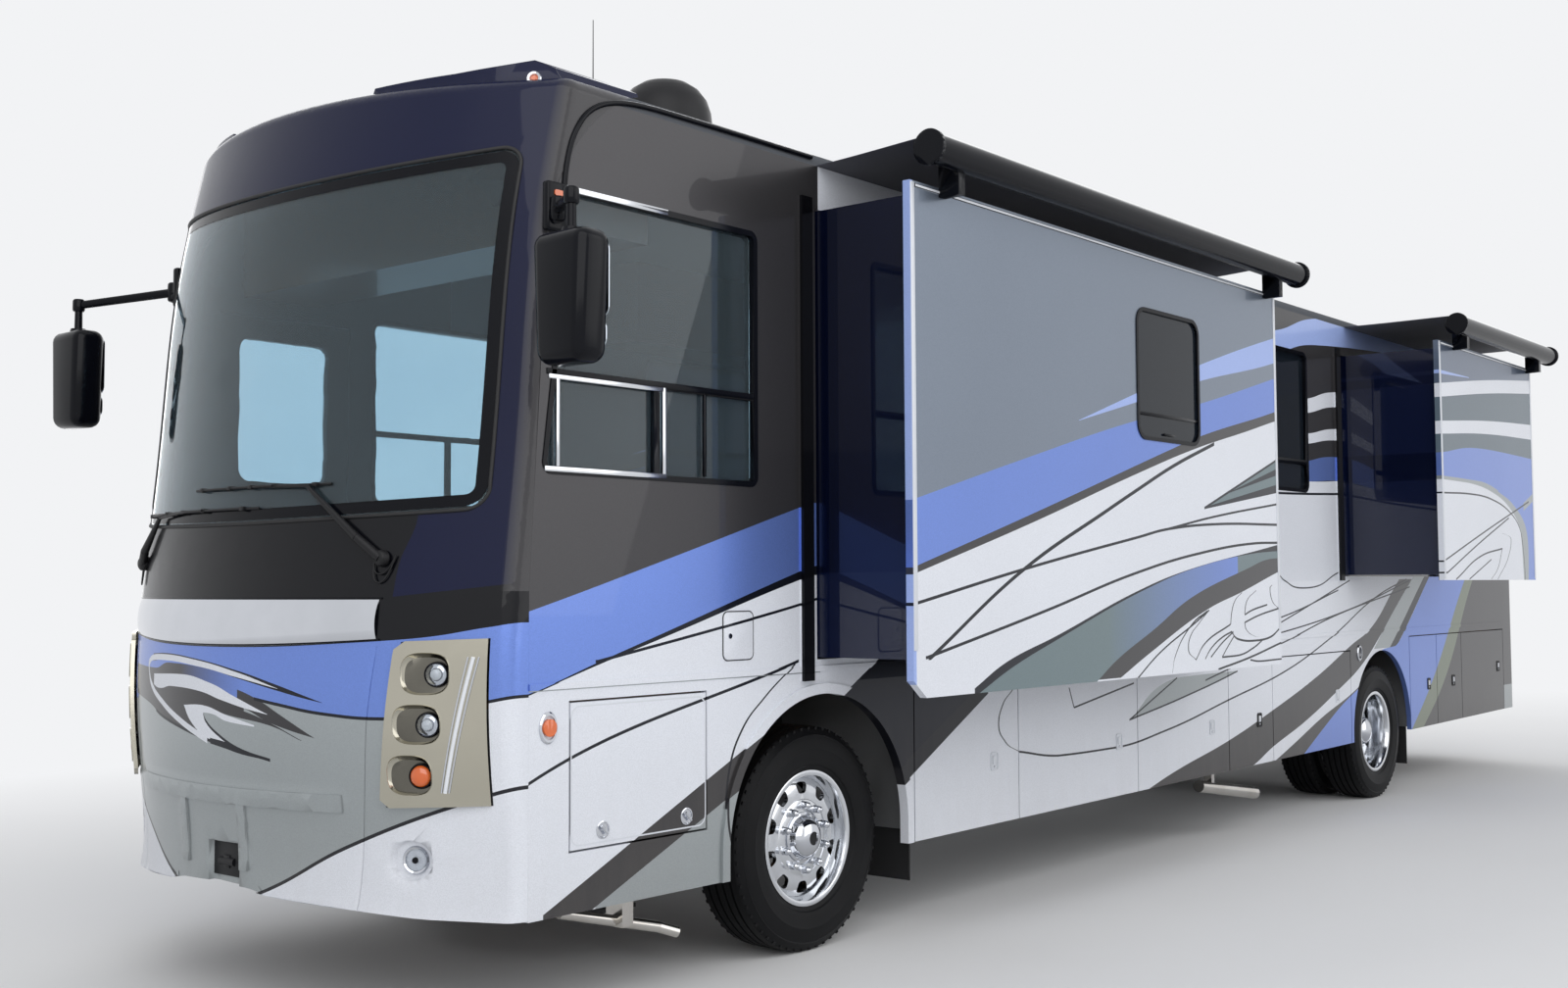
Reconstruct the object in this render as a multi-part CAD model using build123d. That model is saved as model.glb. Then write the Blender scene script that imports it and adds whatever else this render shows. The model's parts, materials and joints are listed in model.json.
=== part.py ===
from build123d import *
import os
from math import asin, cos, radians, sin, sqrt, tan

# A class A motor coach with two slide-out rooms on its left side.
# Sizes are millimetres. While pieces are made, X points forward from the front axle, Y to the
# coach's left and Z up from the ground. At the end all of them move so that the origin is the
# middle of the footprint.

# Clearances
SEAT = 0.3            # between a seated piece and what carries it
DOOR_GAP = 8          # round every door
SLIDE_GAP = 10        # between a slide-out room and its opening
RUNNING_FIT = 0.05    # radial, shaft in bore

# Body shell
HALF_WIDTH = 1282.5
WHEELBASE = 6740
REAR_OVERHANG = 3330
REAR_CAP_LENGTH = 364
ROOF_TOP = 3555
RAIL_RADIUS = 70      # rounding between wall and roof
WALL = 55
WALL_BOTTOM = 1200
SKIRT = 35
SKIRT_BOTTOM = 410
SKIRT_RISE = 80       # how much higher the skirt's edge is at the rear
BAY_TOP = 1118        # top of the bay doors below the front slide-out
HIGH_BAY_TOP = 1190   # top of the bay doors elsewhere
FLOOR_TOP = 1225
FLOOR = 60
CAP = 35              # thickness of the moulded front and rear caps
MOULDING = (1238, 1262, 6)  # belt moulding: low, high, how far it stands out
OPENING_TRIM = (72, 22)     # strip ahead of a slide-out room: width, how far it stands out
REAR_AXLE = -WHEELBASE
REAR_X = REAR_AXLE - REAR_OVERHANG
REAR_CAP_X = REAR_X + REAR_CAP_LENGTH
INNER_HALF = HALF_WIDTH - WALL
SKIRT_IN = HALF_WIDTH - SKIRT
RAIL_BASE = ROOF_TOP - RAIL_RADIUS
FLOOR_LOW = FLOOR_TOP - FLOOR
CLEAR = 40            # how far a cutting tool runs past what it cuts
SPAN = HALF_WIDTH + 500     # wider than anything
AHEAD = 2600          # further forward than anything
BELOW = 200           # lower than any panel
ABOVE = ROOF_TOP + 400

# Front cap: its plan is a wide arc, a tangent line and a small corner arc
NOSE_RADIUS = 1990
NOSE_LINE = 282.5     # from the arc's end to the side
NOSE_CORNER = 90
NOSE_TOP_ROUND = 70
NOSE_ARC_HALF = HALF_WIDTH - NOSE_LINE
# height, how far forward the middle of the nose stands
NOSE_PROFILE = [(400, 2232), (940, 2251), (1350, 2262), (1930, 2204), (2600, 2140), (3210, 2053), (ROOF_TOP, 1975)]
NOSE_LOW = NOSE_PROFILE[0][0]
CAP_BACK_X = 900
CAP_LOW = 405
CAP_NOTCH = (280, 515)     # raised lower edge in the middle of the nose: half width, height
# raised brow above each corner: in from the side, above the roof
BROW = [(812, -60), (782, 22), (442, 42), (162, 75), (92, 40), (67, -30)]
BROW_INSET = 45
BUMPER_BAND = (690, 792, 857, 8)    # half width, low, high, how far it stands out
BUMPER_RIB = (200, 22, 545, 793, 10)  # middle, half width, low, high, how far it stands out
HATCH = (-30, 170, 506, 644, 25)    # tow hatch: right, left, low, high, depth
# seam between hood and corner: height, in from the side
HOOD_SEAM = [(430, 547), (940, 499), (1130, 485), (1400, 452)]
GROOVE = (5, 6)       # width and depth of a moulded seam
FOG_LAMP = (354.5, 627, 50, 74, 22)   # in from the side, height, radius, dish radius, dish depth

# Seam between the front cap and the sides
SEAM_X = 1745
SEAM_KNEE_Z = 1610
SEAM_UPPER = (1665, 2850)
SEAM_BEND = (1515, 3290)
SEAM_END = (1100, 3580)

# Windshield outline seen from the front
SHIELD_EDGE = 117.5   # from its edge to the coach's side
SHIELD_HALF = HALF_WIDTH - SHIELD_EDGE
SHIELD_LOW_MID = 1865
SHIELD_LOW_SIDE = 1905
SHIELD_TOP_MID = ROOF_TOP - 365
SHIELD_TOP_SIDE = ROOF_TOP - 280
SHIELD_CORNER = 70
SHIELD_BACK_X = 1300
GLASS = 8
GLASS_INSET = 3

# Wheels
WHEEL_Z = 495         # axle height, and the standing radius of a tyre
TYRE_HALF = 138
TYRE_SHOULDER = 34
BEAD_R = 284
BEAD_IN = 12          # from the flange's face to the bead
FLANGE_R = 298
FLANGE_T = 9
RIM_HALF = 117
RIM_WALL_R = 268
DISC_R = 180
DISC_T = 16
FRONT_TRACK_IN = 227.5     # middle of the front tyre, in from the side
REAR_TRACK_IN = 177.5
TWIN_SPACING = 330
FRONT_Y = HALF_WIDTH - FRONT_TRACK_IN
REAR_OUTER_Y = HALF_WIDTH - REAR_TRACK_IN
REAR_INNER_Y = REAR_OUTER_Y - TWIN_SPACING
KINGPIN_Y = FRONT_Y - 195
KINGPIN_R = 20
SPINDLE_R = 38
HAND_HOLES = 10
HAND_HOLE_R = 24
HAND_HOLE_PCR = 214
SEAM_TURN = 9         # turns the closing line of a turned wheel off its holes
LUGS = 10
LUG_PCR = 142.5
LUG_R = 18
LUG_OUT = 44
FRONT_DISC = 60       # offset of the front disc from the tyre's middle
REAR_DISC = -70
INNER_DISC = 40
FRONT_HUB = 100       # how far the front hub reaches past the wheel's middle
REAR_HUB = 30
FRONT_HUB_BACK = -90
REAR_HUB_BACK = -340
HUB_R = 100
CAP_R = 85

# Wheel arches: middle, radius, height of the arch's centre
ARCH_Z = 515
FRONT_ARCH = (40, 625)
REAR_ARCH = (REAR_AXLE, 590)
ARCH_LIP = 45
ARCH_PROUD = 12

# Chassis
FRAME_HALF = 470      # outside of the two rails
FRAME_WIDTH = 80
FRAME_LOW = 840
FRAME_HIGH = 1094
FRAME_WEB = 10
FRAME_FRONT = 1740
FRAME_REAR = REAR_X + 80
CROSSMEMBERS = [
    FRAME_FRONT - 40, 760, -700, -2200, -4400, REAR_AXLE + 640, REAR_AXLE - 660, REAR_AXLE - 1610, REAR_CAP_X - 94,
]

# Seams between the bays, front to rear, ahead of and behind the rear wheels
FRONT_SEAMS = [-653, -1577, -2862, -4066, -4736, REAR_AXLE + 633]
REAR_SEAMS = [REAR_AXLE - 590, REAR_AXLE - 1212, REAR_AXLE - 1825, REAR_CAP_X]
# Bay doors on the left: name, front edge, rear edge, top
BAYS_LEFT = [
    ("bay_door_%d" % (index + 1), front, rear, BAY_TOP)
    for index, (front, rear) in enumerate(zip(FRONT_SEAMS, FRONT_SEAMS[1:]))
] + [
    ("bay_door_%d" % (index + 6), front, rear, HIGH_BAY_TOP)
    for index, (front, rear) in enumerate(zip(REAR_SEAMS, REAR_SEAMS[1:]))
]
# Bay doors on the right, which share seams with the left ones
BAYS_RIGHT = [
    ("bay_door_right_1", FRONT_SEAMS[1], FRONT_SEAMS[2], BAY_TOP),
    ("bay_door_right_2", FRONT_SEAMS[2], FRONT_SEAMS[3], BAY_TOP),
    ("bay_door_right_3", FRONT_SEAMS[4], FRONT_SEAMS[5], BAY_TOP),
    ("bay_door_right_4", REAR_SEAMS[2], REAR_SEAMS[3], HIGH_BAY_TOP),
]
DIVIDER = 20
FRONT_DIVIDERS = [FRONT_SEAMS[0] + 3] + FRONT_SEAMS[1:]
REAR_DIVIDERS = [REAR_SEAMS[0] - DIVIDER, REAR_SEAMS[1], REAR_AXLE - 1660]
JAMBS = [REAR_SEAMS[2] - 15, REAR_CAP_X + 16]  # posts that the last bay door closes on
JAMB_IN = 147         # depth of a jamb
TRAY_LOW = 430
LOCKER = (800, 1540, 640, 1190)  # front locker door: rear, front, low, high
LOCKER_IN = 560

# Slide-out rooms: rear, front, low and high edges of the face, and how far out it stands
SLIDE_1 = (-3624, 110, 1140, ROOF_TOP - 225, HALF_WIDTH + 543.5)
SLIDE_2 = (REAR_AXLE - 1430, REAR_AXLE + 740, 1630, ROOF_TOP - 245, HALF_WIDTH + 717.5)
SLIDE_1_BOX_LOW = 1300
SLIDE_2_BOX_LOW = 1670
SLIDE_FLARE = (95, 75)  # cut front corner of the first face: along, up
FLANGE = 45           # how far the face overlaps the wall
FACE = 40
ROOM_WALL = 45
ROOM_IN = INNER_HALF - FACE - 0.5

# Windows: side, rear, front, front at the top, low, high, corner, height of the bar
WINDOWS = [
    (1, 472, 1690, 1545, 2030, 3120, 45, 2410),
    (1, REAR_AXLE + 1320, -3950, -3950, 2240, 3220, 70, 2450),
    (-1, -450, 600, 600, 2030, 3000, 70, 2410),
    (-1, -2500, -1400, -1400, 2240, 3000, 70, 2450),
    (-1, REAR_AXLE + 1440, -3900, -3900, 2240, 3220, 70, 2450),
    (-1, REAR_AXLE - 1260, REAR_AXLE - 160, REAR_AXLE - 160, 2240, 3000, 70, 2450),
]
FRAME_FACE = 24       # width of a window frame seen from outside
FRAME_PROUD = 4
BAR_HALF = 15
PANE = 6
PANE_DEPTH = 22
SLIDE_WINDOW = (-2590, -1890, 2365, 3040, 80)
SLIDE_PANE_DEPTH = 8

# Entry door: rear, front, low, high
ENTRY = (720, 1500, 430, 2950)
ENTRY_GLASS = (860, 1360, 2130, 2820, 60)
ENTRY_T = 40
ENTRY_REBATE = 20
ENTRY_PANE_DEPTH = 4

# Engine door in the rear cap: half width, low, high
ENGINE_DOOR = (700, 700, 1600)
ENGINE_DOOR_T = 28
LOUVRES = (8, 520, 820, 60, 18)   # how many, half width, lowest, spacing, height
REAR_CORNER = 150
REAR_CAP_LOW = 490
REAR_NOTCH = (120, 590)    # round the receiver: half width, height
ENGINE = (REAR_X + 450, REAR_X + 1610, 480, 1120)   # rear, front, low, high

# Topper rollers: past the face at the rear and front, above it, out from it
ROLLER_1 = (106, 10, 120)
ROLLER_2 = (150, -70, 110)
ROLLER_OUT = 104
ROLLER_R = 65
ROLLER_CAP = (20, 12)  # end caps: length, how much larger
TOPPER = (60, 4)       # fabric: in from the roller's ends, thickness

# Mirrors
MIRROR_X = 1930
MIRROR_OUT = 417.5
MIRROR_Y = HALF_WIDTH + MIRROR_OUT
MIRROR_LOW = 2370
MIRROR_HIGH = 2830
MIRROR_WIDE = 270
MIRROR_DEEP = 150
MIRROR_CORNER = 50
MIRROR_EDGE = 14
MIRROR_ARM_R = 18
MIRROR_FOOT = (1585, 1690, 2930, 3120, 40)   # rear, front, low, high, how far out

nodes = {}


def block(x0, x1, y0, y1, z0, z1):
    """A box between two corners."""
    middle = Pos((x0 + x1) / 2, (y0 + y1) / 2, (z0 + z1) / 2)
    return middle * Box(abs(x1 - x0), abs(y1 - y0), abs(z1 - z0))


def rod(start, end, radius):
    """A round bar between two points."""
    run = Vector(*end) - Vector(*start)
    return Solid.make_cylinder(radius, run.length, Plane(origin=start, z_dir=run))


def disc(centre, along, radius, length):
    """A short cylinder that starts at a point."""
    return Solid.make_cylinder(radius, length, Plane(origin=centre, z_dir=along))


def side_plate(outline, y0, y1):
    """Extrude a face drawn in X and Z between two distances from the middle."""
    plane = Plane(origin=(0, max(y0, y1), 0), x_dir=(1, 0, 0), z_dir=(0, -1, 0))
    return extrude(plane * outline, amount=abs(y1 - y0))


def front_plate(outline, x0, x1):
    """Extrude a face drawn in Y and Z between two X places."""
    plane = Plane(origin=(min(x0, x1), 0, 0), x_dir=(0, 1, 0), z_dir=(1, 0, 0))
    return extrude(plane * outline, amount=abs(x1 - x0))


def polygon(*points):
    return make_face(Polyline(*points, close=True))


def rounded(outline, radius):
    return fillet(outline.vertices(), radius)


def mirrored(shape, side):
    return shape if side > 0 else mirror(shape, about=Plane.XZ)


# Front cap


def nose_section(height, front_x, inset):
    """The plan of the nose at one height, drawn inwards by inset."""
    turn = asin(NOSE_ARC_HALF / NOSE_RADIUS)
    radius = NOSE_RADIUS - inset
    centre_x = front_x - NOSE_RADIUS
    half = HALF_WIDTH - inset
    corner = NOSE_CORNER - inset
    arc_end = (centre_x + radius * cos(turn), radius * sin(turn))
    to_side = (half - arc_end[1]) / cos(turn)
    meet_x = arc_end[0] - to_side * sin(turn)
    tangent = corner * tan((radians(90) - turn) / 2)
    line_end = (meet_x + tangent * sin(turn), half - tangent * cos(turn))
    side_start = (meet_x - tangent, half)
    mid_turn = (radians(90) + turn) / 2
    corner_mid = (side_start[0] + corner * cos(mid_turn), half - corner + corner * sin(mid_turn))

    def other(point):
        return (point[0], -point[1])

    edges = [
        ThreePointArc(other(arc_end), (front_x - inset, 0), arc_end),
        Line(arc_end, line_end),
        ThreePointArc(line_end, corner_mid, side_start),
        Line(side_start, (CAP_BACK_X, half)),
        Line((CAP_BACK_X, half), (CAP_BACK_X, -half)),
        Line((CAP_BACK_X, -half), other(side_start)),
        ThreePointArc(other(side_start), other(corner_mid), other(line_end)),
        Line(other(line_end), other(arc_end)),
    ]
    return Pos(0, 0, height) * make_face(edges)


def nose_solid(inset):
    """The nose's outer form, drawn inwards by inset, with its top edges rounded."""
    sections = [nose_section(z, x, inset) for z, x in NOSE_PROFILE[:-1]]
    top_z, top_x = NOSE_PROFILE[-1]
    sections.append(nose_section(top_z - inset, top_x, inset))
    solid = loft(sections)
    top_edges = [edge for edge in solid.edges() if edge.center().Z > top_z - inset - 1]
    top_edges = [edge for edge in top_edges if edge.center().X > CAP_BACK_X + 1]
    return fillet(top_edges, NOSE_TOP_ROUND - inset)


def ahead_of_seam(shift):
    """Everything in front of the seam between cap and sides, moved forward by shift."""
    start = (SEAM_X + shift, BELOW)
    knee = (SEAM_X + shift, SEAM_KNEE_Z)
    upper = (SEAM_UPPER[0] + shift, SEAM_UPPER[1])
    bend = (SEAM_BEND[0] + shift, SEAM_BEND[1])
    end = (SEAM_END[0] + shift, SEAM_END[1])
    edges = [
        Line(start, knee),
        Line(knee, upper),
        ThreePointArc(upper, bend, end),
        Line(end, (end[0], ABOVE)),
        Line((end[0], ABOVE), (AHEAD, ABOVE)),
        Line((AHEAD, ABOVE), (AHEAD, BELOW)),
        Line((AHEAD, BELOW), start),
    ]
    return side_plate(make_face(edges), -SPAN, SPAN)


def shield_outline(grow):
    """The windshield's outline in Y and Z, larger by grow."""
    half = SHIELD_HALF + grow
    low, high = SHIELD_LOW_SIDE - grow, SHIELD_TOP_SIDE + grow
    edges = [
        ThreePointArc((-half, low), (0, SHIELD_LOW_MID - grow), (half, low)),
        Line((half, low), (half, high)),
        ThreePointArc((half, high), (0, SHIELD_TOP_MID + grow), (-half, high)),
        Line((-half, high), (-half, low)),
    ]
    return fillet(make_face(edges).vertices(), SHIELD_CORNER + grow)


NOSE = nose_solid(0)
NOSE_SEAT = nose_solid(-SEAT)


def on_skin(outline, proud):
    """What an outline seen from the front covers on the nose, as a raised form."""
    return front_plate(outline, SHIELD_BACK_X, AHEAD) & nose_solid(-proud)


def under_skin(outline, depth):
    """What an outline seen from the front covers, down to a depth below the nose's skin."""
    return front_plate(outline, SHIELD_BACK_X, AHEAD) - nose_solid(depth)


def rectangle(y0, y1, z0, z1):
    return polygon((y0, z0), (y1, z0), (y1, z1), (y0, z1))


def strip(points, width):
    """A narrow band of even width in Y along points of height and distance out."""
    there = [(y - width / 2, z) for z, y in points]
    back = [(y + width / 2, z) for z, y in reversed(points)]
    return polygon(*there, *back)


def brow(side):
    """The raised shoulder above one corner of the nose."""
    outline = polygon(*[(side * (HALF_WIDTH - inward), ROOF_TOP + up) for inward, up in BROW])
    plan = extrude(nose_section(ROOF_TOP - CLEAR, NOSE_PROFILE[-1][1], BROW_INSET), 200)
    return front_plate(outline, CAP_BACK_X, AHEAD) & plan


# Headlamp panel: corners and lamp pockets, in from the side and height
PANEL = [(429.5, 818), (70.5, 832), (70.5, 1431), (365.5, 1417)]
PANEL_PROUD = 8
POCKETS = [(259.5, 1298), (296.5, 1118), (328.5, 930)]
POCKET_WIDE = 190
POCKET_HIGH = 132
POCKET_ROUND = 60
POCKET_DEPTH = 26
PANEL_LAMP_R = 42
PANEL_LAMP_OUT = 46   # from the pocket's middle to the lamp's


def panel_outline(side, grow=0):
    corners = [(side * (HALF_WIDTH - inward), z) for inward, z in PANEL]
    outline = polygon(*corners)
    return offset(outline, grow, kind=Kind.INTERSECTION) if grow else outline


def front_cap():
    """The moulded nose: shell, brows, bumper forms, seams and recesses."""
    band_half, band_low, band_high, band_out = BUMPER_BAND
    rib_y, rib_half, rib_low, rib_high, rib_out = BUMPER_RIB
    form = NOSE + on_skin(rectangle(-band_half, band_half, band_low, band_high), band_out)
    for side in (1, -1):
        rib = rectangle(side * rib_y - rib_half, side * rib_y + rib_half, rib_low, rib_high)
        form = form + on_skin(rib, rib_out) + brow(side)
    shell = form - nose_solid(CAP) - block(CAP_BACK_X, AHEAD, -SPAN, SPAN, BELOW, CAP_LOW)
    shell = shell & ahead_of_seam(0)
    shell = shell - front_plate(shield_outline(SEAT), SHIELD_BACK_X, AHEAD)
    for side in (1, -1):
        shell = shell - front_plate(panel_outline(side, SEAT), SHIELD_BACK_X, AHEAD)
        seam = [(z, side * (HALF_WIDTH - inward)) for z, inward in HOOD_SEAM]
        shell = shell - under_skin(strip(seam, GROOVE[0]), GROOVE[1])
        inward, height, radius, dish, depth = FOG_LAMP
        round_dish = Pos(side * (HALF_WIDTH - inward), height) * Circle(dish)
        shell = shell - under_skin(round_dish, depth)
    right, left, low, high, depth = HATCH
    shell = shell - under_skin(rectangle(right, left, low, high), depth)
    notch_half, notch_top = CAP_NOTCH
    return shell - block(CAP_BACK_X, AHEAD, -notch_half, notch_half, BELOW, notch_top)


def windshield():
    shell = nose_solid(GLASS_INSET) - nose_solid(GLASS_INSET + GLASS)
    return shell & front_plate(shield_outline(0), SHIELD_BACK_X, AHEAD)


# Windows


def window_outline(rear, front, front_top, low, high, corner, grow=0):
    corners = polygon(
        (rear - grow, low - grow),
        (front + grow, low - grow),
        (front_top + grow, high + grow),
        (rear - grow, high + grow),
    )
    return rounded(corners, max(corner + grow, 5))


def framed_window(row):
    """The hole, the frame with its bar and post, and the pane behind it."""
    side, rear, front, front_top, low, high, corner, bar_z = row
    outer = HALF_WIDTH + FRAME_PROUD
    back = INNER_HALF - CLEAR

    def plate(grow, y0, y1):
        return side_plate(window_outline(rear, front, front_top, low, high, corner, grow), y0, y1)

    hole = plate(SEAT, back, outer + CLEAR)
    inside = plate(-FRAME_FACE, back, outer + CLEAR)
    pane_face = HALF_WIDTH - PANE_DEPTH
    middle = (rear + front) / 2
    bar = block(rear, front, pane_face + SEAT, HALF_WIDTH, bar_z - BAR_HALF, bar_z + BAR_HALF)
    post = block(middle - BAR_HALF, middle + BAR_HALF, pane_face + SEAT, HALF_WIDTH, low, bar_z)
    frame = (plate(0, INNER_HALF, outer) - inside) + ((bar + post) & inside)
    pane = plate(-FRAME_FACE - SEAT, pane_face - PANE, pane_face)
    return [mirrored(shape, side) for shape in (hole, frame, pane)]


# Sides


def wall_plate(side):
    """The laminated wall of one side with its belt moulding, behind the seam and above the skirt."""
    low, high, proud = MOULDING
    plate = block(REAR_CAP_X + SEAT, AHEAD, INNER_HALF, HALF_WIDTH, WALL_BOTTOM, RAIL_BASE)
    plate = plate + block(REAR_CAP_X + SEAT, AHEAD, INNER_HALF, HALF_WIDTH + proud, low, high)
    plate = plate - ahead_of_seam(-SEAT)
    return mirrored(plate, side)


def slide_opening(slide, box_low):
    rear, front, low, high, out = slide
    grow = SLIDE_GAP
    return block(
        rear + FLANGE - grow, front - FLANGE + grow,
        INNER_HALF - CLEAR, HALF_WIDTH + CLEAR,
        box_low - grow, high - FLANGE - 5 + grow,
    )


def opening_trim(slide):
    """The strip that stands ahead of a slide-out room."""
    rear, front, low, high, out = slide
    width, proud = OPENING_TRIM
    return block(front + DOOR_GAP, front + DOOR_GAP + width, INNER_HALF, HALF_WIDTH + proud, max(low, WALL_BOTTOM), high)


def wall_left():
    plate = wall_plate(1) + opening_trim(SLIDE_1) + opening_trim(SLIDE_2)
    plate = plate - slide_opening(SLIDE_1, SLIDE_1_BOX_LOW) - slide_opening(SLIDE_2, SLIDE_2_BOX_LOW)
    for row in WINDOWS:
        if row[0] > 0:
            plate = plate - framed_window(row)[0]
    return plate


def entry_opening():
    """A hole with a rebate that the closed door rests on."""
    rear, front, low, high = ENTRY
    outer = block(
        rear - DOOR_GAP, front + DOOR_GAP,
        -HALF_WIDTH - CLEAR, -HALF_WIDTH + ENTRY_T + SEAT,
        BELOW, high + DOOR_GAP,
    )
    through = block(
        rear + ENTRY_REBATE, front - ENTRY_REBATE,
        -HALF_WIDTH - CLEAR, -INNER_HALF + CLEAR,
        BELOW, high - ENTRY_REBATE,
    )
    return outer + through


def wall_right():
    plate = wall_plate(-1) - entry_opening()
    for row in WINDOWS:
        if row[0] < 0:
            plate = plate - framed_window(row)[0]
    return plate


def arch_tool(arch, grow, y0, y1):
    """A wheel arch: a half round above straight legs."""
    middle, radius = arch
    radius = radius + grow
    top = side_plate(Pos(middle, ARCH_Z) * Circle(radius), y0, y1)
    return top + block(middle - radius, middle + radius, y0, y1, BELOW, ARCH_Z)


def below_skirt():
    """All that lies below the skirt's edge, which rises towards the rear."""
    start = FRONT_SEAMS[0]
    outline = polygon(
        (AHEAD, BELOW), (AHEAD, SKIRT_BOTTOM), (start, SKIRT_BOTTOM), (REAR_CAP_X, SKIRT_BOTTOM + SKIRT_RISE),
        (REAR_X - CLEAR, SKIRT_BOTTOM + SKIRT_RISE), (REAR_X - CLEAR, BELOW),
    )
    return side_plate(outline, -SPAN, SPAN)


def skirt(side):
    """The lower side panels with arches, door openings and flared arch lips."""
    inner, outer = SKIRT_IN - CLEAR, HALF_WIDTH + CLEAR
    plate = block(REAR_CAP_X + SEAT, AHEAD, SKIRT_IN, HALF_WIDTH, SKIRT_BOTTOM, WALL_BOTTOM)
    plate = plate - ahead_of_seam(-SEAT)
    lip = arch_tool(FRONT_ARCH, ARCH_LIP, HALF_WIDTH - 1, HALF_WIDTH + ARCH_PROUD)
    plate = plate + (lip & block(REAR_X, AHEAD, 0, SPAN, SKIRT_BOTTOM, ABOVE)) - below_skirt()
    for arch in (FRONT_ARCH, REAR_ARCH):
        plate = plate - arch_tool(arch, 0, inner, outer)
    plate = mirrored(plate, side)
    for name, front, rear, top in (BAYS_LEFT if side > 0 else BAYS_RIGHT):
        last = rear == REAR_CAP_X
        plate = plate - block(
            rear + (0 if last else -DOOR_GAP / 2), front + DOOR_GAP / 2, side * inner, side * outer, BELOW, top + DOOR_GAP,
        )
    if side < 0:
        return plate - entry_opening()
    rear, front, low, high = LOCKER
    return plate - block(rear - DOOR_GAP, front + DOOR_GAP, inner, outer, low - DOOR_GAP, high + 2)


def roof():
    """A U-shaped roof whose rails stand on the walls."""
    depth = ROOF_TOP - RAIL_BASE + CLEAR
    outline = Pos(0, ROOF_TOP - depth / 2) * Rectangle(2 * HALF_WIDTH, depth)
    top_corners = [vertex for vertex in outline.vertices() if vertex.Y > ROOF_TOP - 1]
    outline = fillet(top_corners, RAIL_RADIUS)
    slab = front_plate(outline, REAR_CAP_X + SEAT, AHEAD)
    slab = slab - block(REAR_X, AHEAD, -SPAN, SPAN, BELOW, RAIL_BASE)
    slab = slab - block(REAR_X, AHEAD, -INNER_HALF, INNER_HALF, BELOW, ROOF_TOP - WALL)
    return slab - ahead_of_seam(-SEAT)


def rear_form(inset):
    form = block(REAR_X + inset, REAR_CAP_X, -HALF_WIDTH + inset, HALF_WIDTH - inset, REAR_CAP_LOW, ROOF_TOP - inset)
    corners = [edge for edge in form.edges().filter_by(Axis.Z) if edge.center().X < REAR_X + inset + 1]
    form = fillet(corners, REAR_CORNER - inset)
    tops = [edge for edge in form.edges() if edge.center().Z > ROOF_TOP - inset - 1]
    tops = [edge for edge in tops if edge.center().X < REAR_CAP_X - 1]
    return fillet(tops, RAIL_RADIUS - inset)


def rear_cap():
    shell = rear_form(0) - rear_form(CAP)
    half, low, high = ENGINE_DOOR
    wide, narrow = half + DOOR_GAP, half - ENTRY_REBATE
    back = REAR_X - CLEAR
    pocket = block(back, REAR_X + ENGINE_DOOR_T + SEAT, -wide, wide, low - DOOR_GAP, high + DOOR_GAP)
    through = block(back, REAR_X + CAP + CLEAR, -narrow, narrow, low + ENTRY_REBATE, high - ENTRY_REBATE)
    notch_half, notch_top = REAR_NOTCH
    notch = block(back, REAR_X + CAP + CLEAR, -notch_half, notch_half, BELOW, notch_top)
    return shell - pocket - through - notch


# Doors


def bay_door(front, rear, top, side):
    tail = REAR_CAP_X + DOOR_GAP if rear == REAR_CAP_X else rear + DOOR_GAP / 2
    leaf = block(tail, front - DOOR_GAP / 2, side * SKIRT_IN, side * HALF_WIDTH, SKIRT_BOTTOM, top)
    return leaf - below_skirt()


def entry_door():
    rear, front, low, high = ENTRY
    leaf = block(rear, front, -HALF_WIDTH, -HALF_WIDTH + ENTRY_T, low, high)
    glass_rear, glass_front, glass_low, glass_high, corner = ENTRY_GLASS

    def plate(grow, y0, y1):
        outline = window_outline(glass_rear, glass_front, glass_front, glass_low, glass_high, corner, grow)
        return side_plate(outline, y0, y1)

    leaf = leaf - plate(0, -HALF_WIDTH - CLEAR, -HALF_WIDTH + ENTRY_T + CLEAR)
    glass_face = -HALF_WIDTH + ENTRY_PANE_DEPTH
    return leaf, plate(-SEAT, glass_face, glass_face + PANE)


def engine_door():
    """The louvred door over the engine."""
    half, low, high = ENGINE_DOOR
    leaf = block(REAR_X, REAR_X + ENGINE_DOOR_T, -half, half, low, high)
    count, slot_half, lowest, spacing, height = LOUVRES
    slots = []
    for index in range(count):
        z = lowest + spacing * index
        slots.append(block(REAR_X - CLEAR, REAR_X + ENGINE_DOOR_T + CLEAR, -slot_half, slot_half, z, z + height))
    return leaf - slots


# Slide-out rooms


def slide_room(slide, box_low, flare):
    """A room open to the cabin: face, end walls, floor, roof and inner flange."""
    rear, front, low, high, out = slide
    face = block(rear, front, out - FACE, out, low, high)
    box_rear, box_front, box_high = rear + FLANGE, front - FLANGE, high - FLANGE - 5
    box = block(box_rear, box_front, ROOM_IN, out - FACE, box_low, box_high)
    room = block(
        box_rear + ROOM_WALL, box_front - ROOM_WALL,
        ROOM_IN - CLEAR, out - FACE,
        box_low + ROOM_WALL, box_high - ROOM_WALL,
    )
    flange = block(
        box_rear - FACE, box_front + FACE, ROOM_IN, INNER_HALF - SEAT, box_low - FACE, box_high + FACE,
    )
    shell = face + (box + flange - room)
    if flare:
        along, up = SLIDE_FLARE
        corner = polygon((front + 1, low - 1), (front - along, low - 1), (front + 1, low + up))
        shell = shell - side_plate(corner, out - FACE - 1, out + 1)
    return shell


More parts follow.
